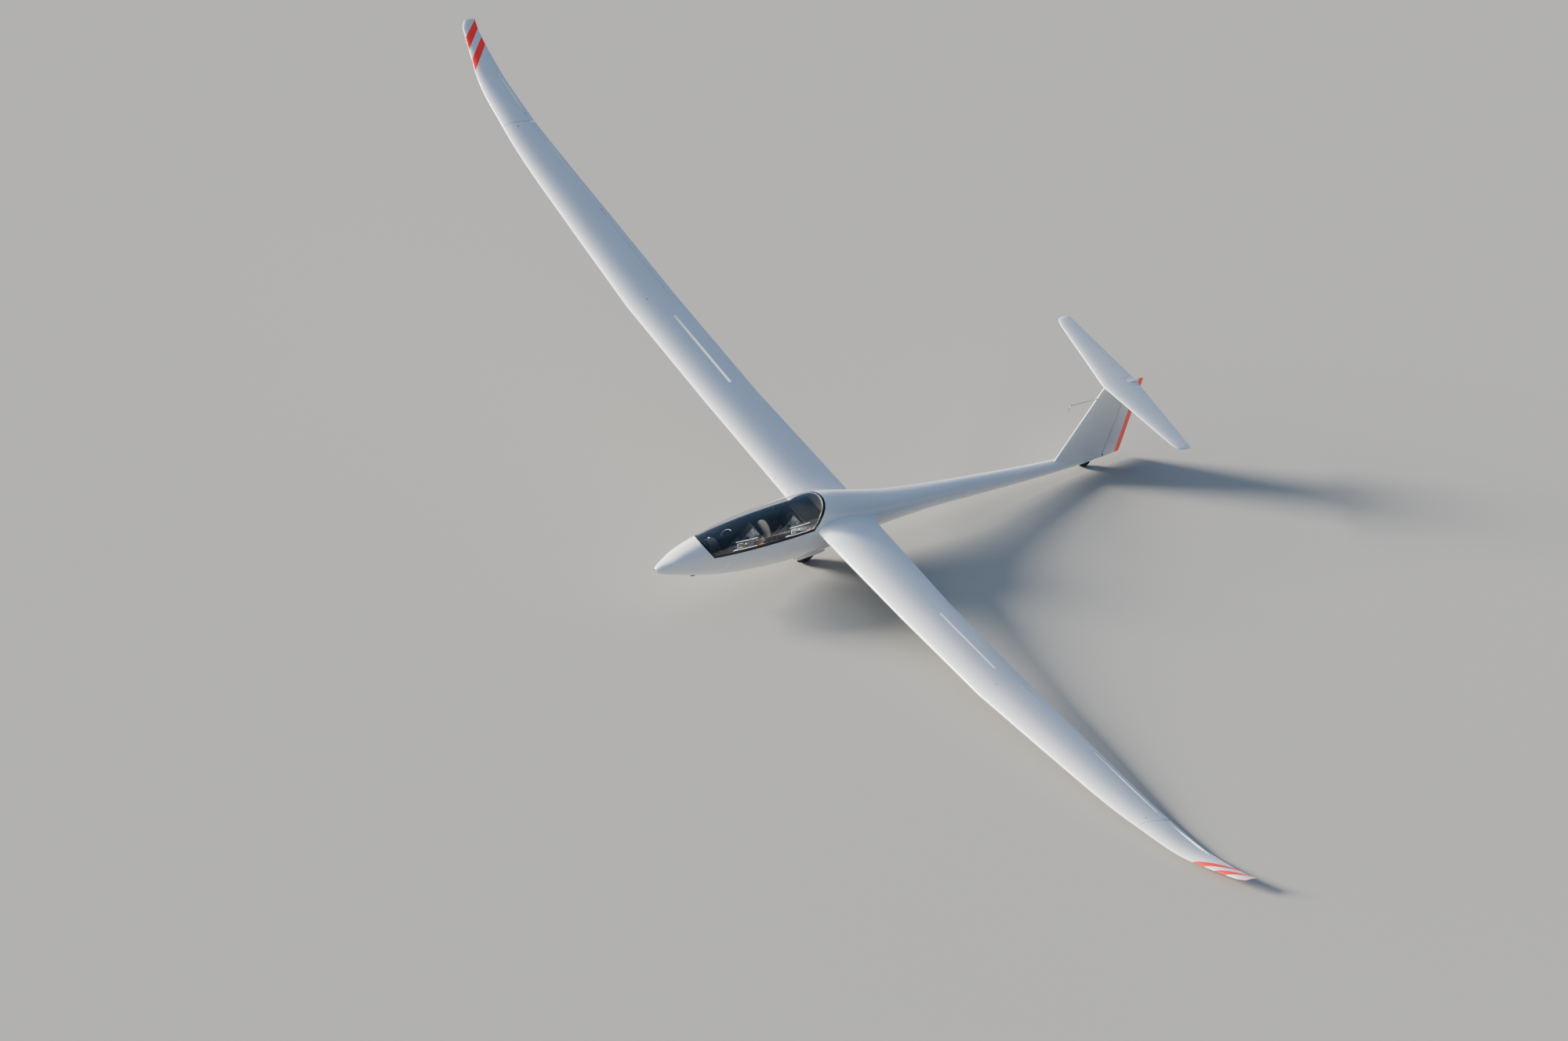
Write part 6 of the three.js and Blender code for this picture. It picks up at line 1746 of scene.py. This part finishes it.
def wheel_hub(name):
    """A cast hub with a ring of holes, and bolts between them on both faces."""
    wheel = WHEELS[name]
    bead = wheel["half"] * 0.62
    bore, rim = wheel["axle"] + 0.0006, wheel["rim"] - SEAT
    if bead < 0.02:
        face = 0.006
        sunk = [(bore + 0.013, face), (rim - 0.012, face)]
    else:
        face = 0.009
        sunk = [(bore + 0.012, bead - 0.002), (bore + 0.014, face), (rim - 0.012, face),
                (rim - 0.010, bead - 0.004)]
    upper = [(bore, bead), (bore + 0.010, bead), *sunk, (rim - 0.009, bead), (rim - 0.001, bead),
             (rim, bead - 0.001)]
    outline = upper + [(r, -y) for r, y in reversed(upper)]
    piece = spun(f"{name}_hub_casting", outline, wheel["place"], wheel["sides"])
    web = (bore + rim) / 2 + 0.001

    def on_web(step, y):
        angle = 2 * math.pi * step / wheel["holes"]
        return wheel["place"] + Vector((web * math.cos(angle), y, web * math.sin(angle)))

    for i in range(wheel["holes"]):
        combine(piece, rod(on_web(i, -0.03), on_web(i, 0.03), (rim - bore) * 0.19, sides=24))
    rounded(paint(piece, alloy), 0.0008, 2, 40)
    size = (rim - bore) * 0.085
    profile = [(0, size), (0.004, size), (0.0048, size * 0.8)]
    bolts = [turned("bolt", profile, on_web(i + 0.5, side * (face - 0.001)), (0, side, 0), 6)
             for i in range(wheel["holes"]) for side in (-1, 1)]
    finished(paint(joined(f"{name}_hub_bolts", *bolts), steel), f"{name}_wheel")
    finished(piece, f"{name}_wheel", (f"{name}_wheel_hub",), angle=35)


def spring(name, start, end, radius, wire, coils):
    """A coil spring around the line from start to end."""
    axis = (end - start).normalized()
    right = axis.orthogonal().normalized()
    up = axis.cross(right)
    count = coils * 16
    line = []
    for i in range(count + 1):
        angle = 2 * math.pi * coils * i / count
        line.append(start.lerp(end, i / count) + (right * math.cos(angle) + up * math.sin(angle)) * radius)
    return sweep(name, line, circle(wire, 8), axis)


def main_gear():
    """The main wheel's arms, cross tubes, struts and axle as one weldment, and the springs on the struts."""
    x, z = MAIN_WHEEL.x, MAIN_WHEEL.z
    (top_x, top_z), (strut_x, strut_z), (foot_x, foot_z) = FORK["top"], FORK["strut_top"], FORK["foot"]
    arm_at, reach = FORK["arm"], FORK["arm"] + FORK["axle_reach"]
    outline = [(top_x - 0.024, top_z + 0.022), (top_x + 0.026, top_z + 0.014), (x + 0.026, z + 0.006),
               (x + 0.008, z - 0.026), (x - 0.022, z - 0.018)]
    inside = WELL["half"] - SEAT
    fork = cross_rod(x, z, -reach, reach, 0.012, 40)
    combine(fork, cross_rod(top_x, top_z, -inside, inside, FORK["cross"], 40), "UNION")
    combine(fork, cross_rod(strut_x, strut_z, -inside, inside, FORK["strut_cross"], 32), "UNION")
    springs = []
    for side in (-1, 1):
        low, high = sorted((side * arm_at, side * (arm_at + FORK["plate"])))
        arm = rounded(side_prism("arm", outline, low, high), 0.006, 3, 30)
        for share, radius in ((0.28, 0.013), (0.46, 0.012), (0.64, 0.011)):
            hole_x, hole_z = top_x + (x - top_x) * share, top_z + (z - top_z) * share
            combine(arm, cross_rod(hole_x, hole_z, low - 0.01, high + 0.01, radius, 28))
        out, end = side * (arm_at + FORK["strut_out"]), side * reach
        foot, head = Vector((x + foot_x, out, z + foot_z)), Vector((strut_x, out, strut_z))
        combine(fork, arm, "UNION")
        combine(fork, rod(foot, head, FORK["strut"] * 0.72, sides=28), "UNION")
        combine(fork, rod(foot, foot.lerp(head, 0.42), FORK["strut"], sides=28), "UNION")
        combine(fork, cross_rod(x, z, side * (arm_at - 0.004), end, FORK["axle_boss"], 40), "UNION")
        combine(fork, cross_rod(foot.x, foot.z, side * (arm_at + 0.002), end, FORK["foot_boss"], 32), "UNION")
        springs.append(spring("coil", foot.lerp(head, 0.40), foot.lerp(head, 0.86), 0.0108, 0.0018, 11))
        profile = [(0, 0.011), (0.006, 0.011), (0.007, 0.0095)]
        springs.append(turned("nut", profile, (x, end - side * 0.001, z), (0, side, 0), 6))
    rounded(name_piece(fork, "main_gear_fork_weldment"), 0.0012, 2, 45)
    finished(paint(fork, steel), "airframe", ("main_gear_fork",))
    finished(paint(joined("main_gear_springs", *springs), alloy), "airframe", angle=50)


def small_axles():
    """The nose and tail wheels' axles, with a collar at each end."""
    for name in ("nose", "tail"):
        place, radius, half = WHEELS[name]["place"], WHEELS[name]["axle"], WELLS[name][2]
        reach = half - SEAT
        axle = cross_rod(place.x, place.z, -reach, reach, radius, 36)
        profile = [(0, radius + 0.004), (0.004, radius + 0.004), (0.005, radius + 0.002)]
        for side in (-1, 1):
            start = place + Vector((0, side * (half - 0.0055), 0))
            combine(axle, turned("collar", profile, start, (0, side, 0), 32), "UNION")
        name_piece(axle, f"{name}_axle_shaft")
        finished(paint(axle, steel), "airframe", (f"{name}_wheel_axle",))


def gear_doors():
    """The skin over each half of the main wheel's well, hung open from the well's outer edge."""
    def edge(x):
        half, top, bottom = row(HULL, x, smoothly)
        level = (1 - (DOOR["edge"] / half) ** HULL_SQUARENESS) ** (1 / HULL_SQUARENESS)
        return Vector((x, DOOR["edge"], (top + bottom) / 2 - (top - bottom) / 2 * level))

    front, back = edge(WELL["from"]), edge(WELL["to"])
    turn = Matrix.Rotation(DOOR["swing"], 4, back - front)
    swing = Matrix.Translation(front) @ turn @ Matrix.Translation(-front)
    door = hull("door", WELL["from"] - 0.14, WELL["to"] + 0.13)
    combine(door, hull("inside", WELL["from"] - 0.16, WELL["to"] + 0.15, DOOR["thick"]))
    combine(door, block((WELL["from"] + DOOR["ends"], DOOR["middle"], BELOW),
                        (WELL["to"] - DOOR["ends"], DOOR["edge"], 0)), "INTERSECT")
    rounded(door, 0.0015, 2, 40)
    door.matrix_world = Matrix.Translation((0, 0, -DOOR["drop"])) @ swing
    bpy.ops.object.transform_apply()
    pair(paint(door, gelcoat), "gear_door_{}_skin", "airframe", "gear_door_{}")


def landing_gear():
    """The three wheels, and all that carries or covers them."""
    for name in WHEELS:
        tyre(name)
        wheel_hub(name)
    main_gear()
    small_axles()
    gear_doors()


# The rest of the frame's own nodes

def carried_over():
    """The frame's own nodes that still show get this scene's finishes."""
    looks = {
        "gelcoat": gelcoat, "canopy_frame": frame_black, "canopy_glass": clear_glass, "tyre": dark_rubber,
        "wheel_alloy": alloy, "steel": steel, "interior": interior, "cushion_cloth": cloth,
        "panel_black": panel_black, "skid": skid_black,
    }
    for part in frame["record"]["subparts"]:
        node = frame["nodes"][part["node"]]
        if not node.hide_render:
            paint(node, looks[part["material_slot"]])


# Floor, light and camera

SUNLIGHT = (0.66, -0.66, -0.28)
SOFTBOX = (-0.60, 0.62, 0.50)
SKY = [  # nearness to the softbox, colour
    (0.45, (0.12, 0.20, 0.36, 1)), (0.75, (0.24, 0.38, 0.66, 1)), (0.93, (0.75, 0.84, 0.96, 1)),
]


def studio():
    """A wide pale floor, a blue sky that is bright on one side, and a soft warm key light."""
    bpy.ops.object.select_all(action="DESELECT")
    bpy.ops.mesh.primitive_plane_add(size=1200)
    floor = name_piece(bpy.context.object, "floor")
    paint(floor, floor_grey)
    world = bpy.data.worlds.new("studio")
    world.use_nodes = True
    tree = world.node_tree
    place = add_node(tree, "ShaderNodeTexCoord")
    facing = add_node(tree, "ShaderNodeVectorMath", {1: SOFTBOX}, operation="DOT_PRODUCT")
    spread = add_node(tree, "ShaderNodeMapRange", {"From Min": -1})
    ramp = add_node(tree, "ShaderNodeValToRGB")
    stops = ramp.color_ramp.elements
    stops[0].position, stops[0].color = 0.0, (0.07, 0.09, 0.12, 1)
    stops[1].position, stops[1].color = 1.0, (1.0, 1.0, 1.0, 1)
    for position, colour in SKY:
        stops.new(position).color = colour
    background = tree.nodes["Background"]
    background.inputs["Strength"].default_value = 1.15
    connect(tree, (place, "Generated", facing, 0), (facing, "Value", spread, "Value"),
            (spread, "Result", ramp, "Fac"), (ramp, "Color", background, "Color"))
    bpy.context.scene.world = world
    sun = bpy.data.lights.new("key", "SUN")
    sun.energy = 15
    sun.angle = math.radians(16)
    sun.color = (1.0, 0.93, 0.83)
    lamp = bpy.data.objects.new("key", sun)
    bpy.context.scene.collection.objects.link(lamp)
    lamp.rotation_euler = Vector(SUNLIGHT).to_track_quat("-Z", "Y").to_euler()


def camera():
    """The camera at the photograph's angle to the level airframe, set down with it."""
    bearing, height, roll = (math.radians(CAMERA[k]) for k in ("bearing", "height", "roll"))
    level = Vector((math.cos(bearing), math.sin(bearing), 0))
    ahead = level * math.cos(height) - Vector((0, 0, math.sin(height)))
    right = ahead.cross(Vector((0, 0, 1))).normalized()
    up = right.cross(ahead)
    up = up * math.cos(roll) - right * math.sin(roll)
    lens = bpy.data.cameras.new("view")
    lens.lens = CAMERA["lens"]
    lens.sensor_width = 36
    lens.clip_end = 2000
    eye = bpy.data.objects.new("view", lens)
    bpy.context.scene.collection.objects.link(eye)
    place = Vector(CAMERA["aim"]) - ahead * CAMERA["distance"]
    eye.matrix_world = PARKED @ frame_at(place, ahead.cross(up), up, -ahead)
    bpy.context.scene.camera = eye


camera()
studio()
fuselage()
wings()
fin_and_rudder()
tailplane()
canopy()
small_airframe_pieces()
cockpit()
landing_gear()
carried_over()
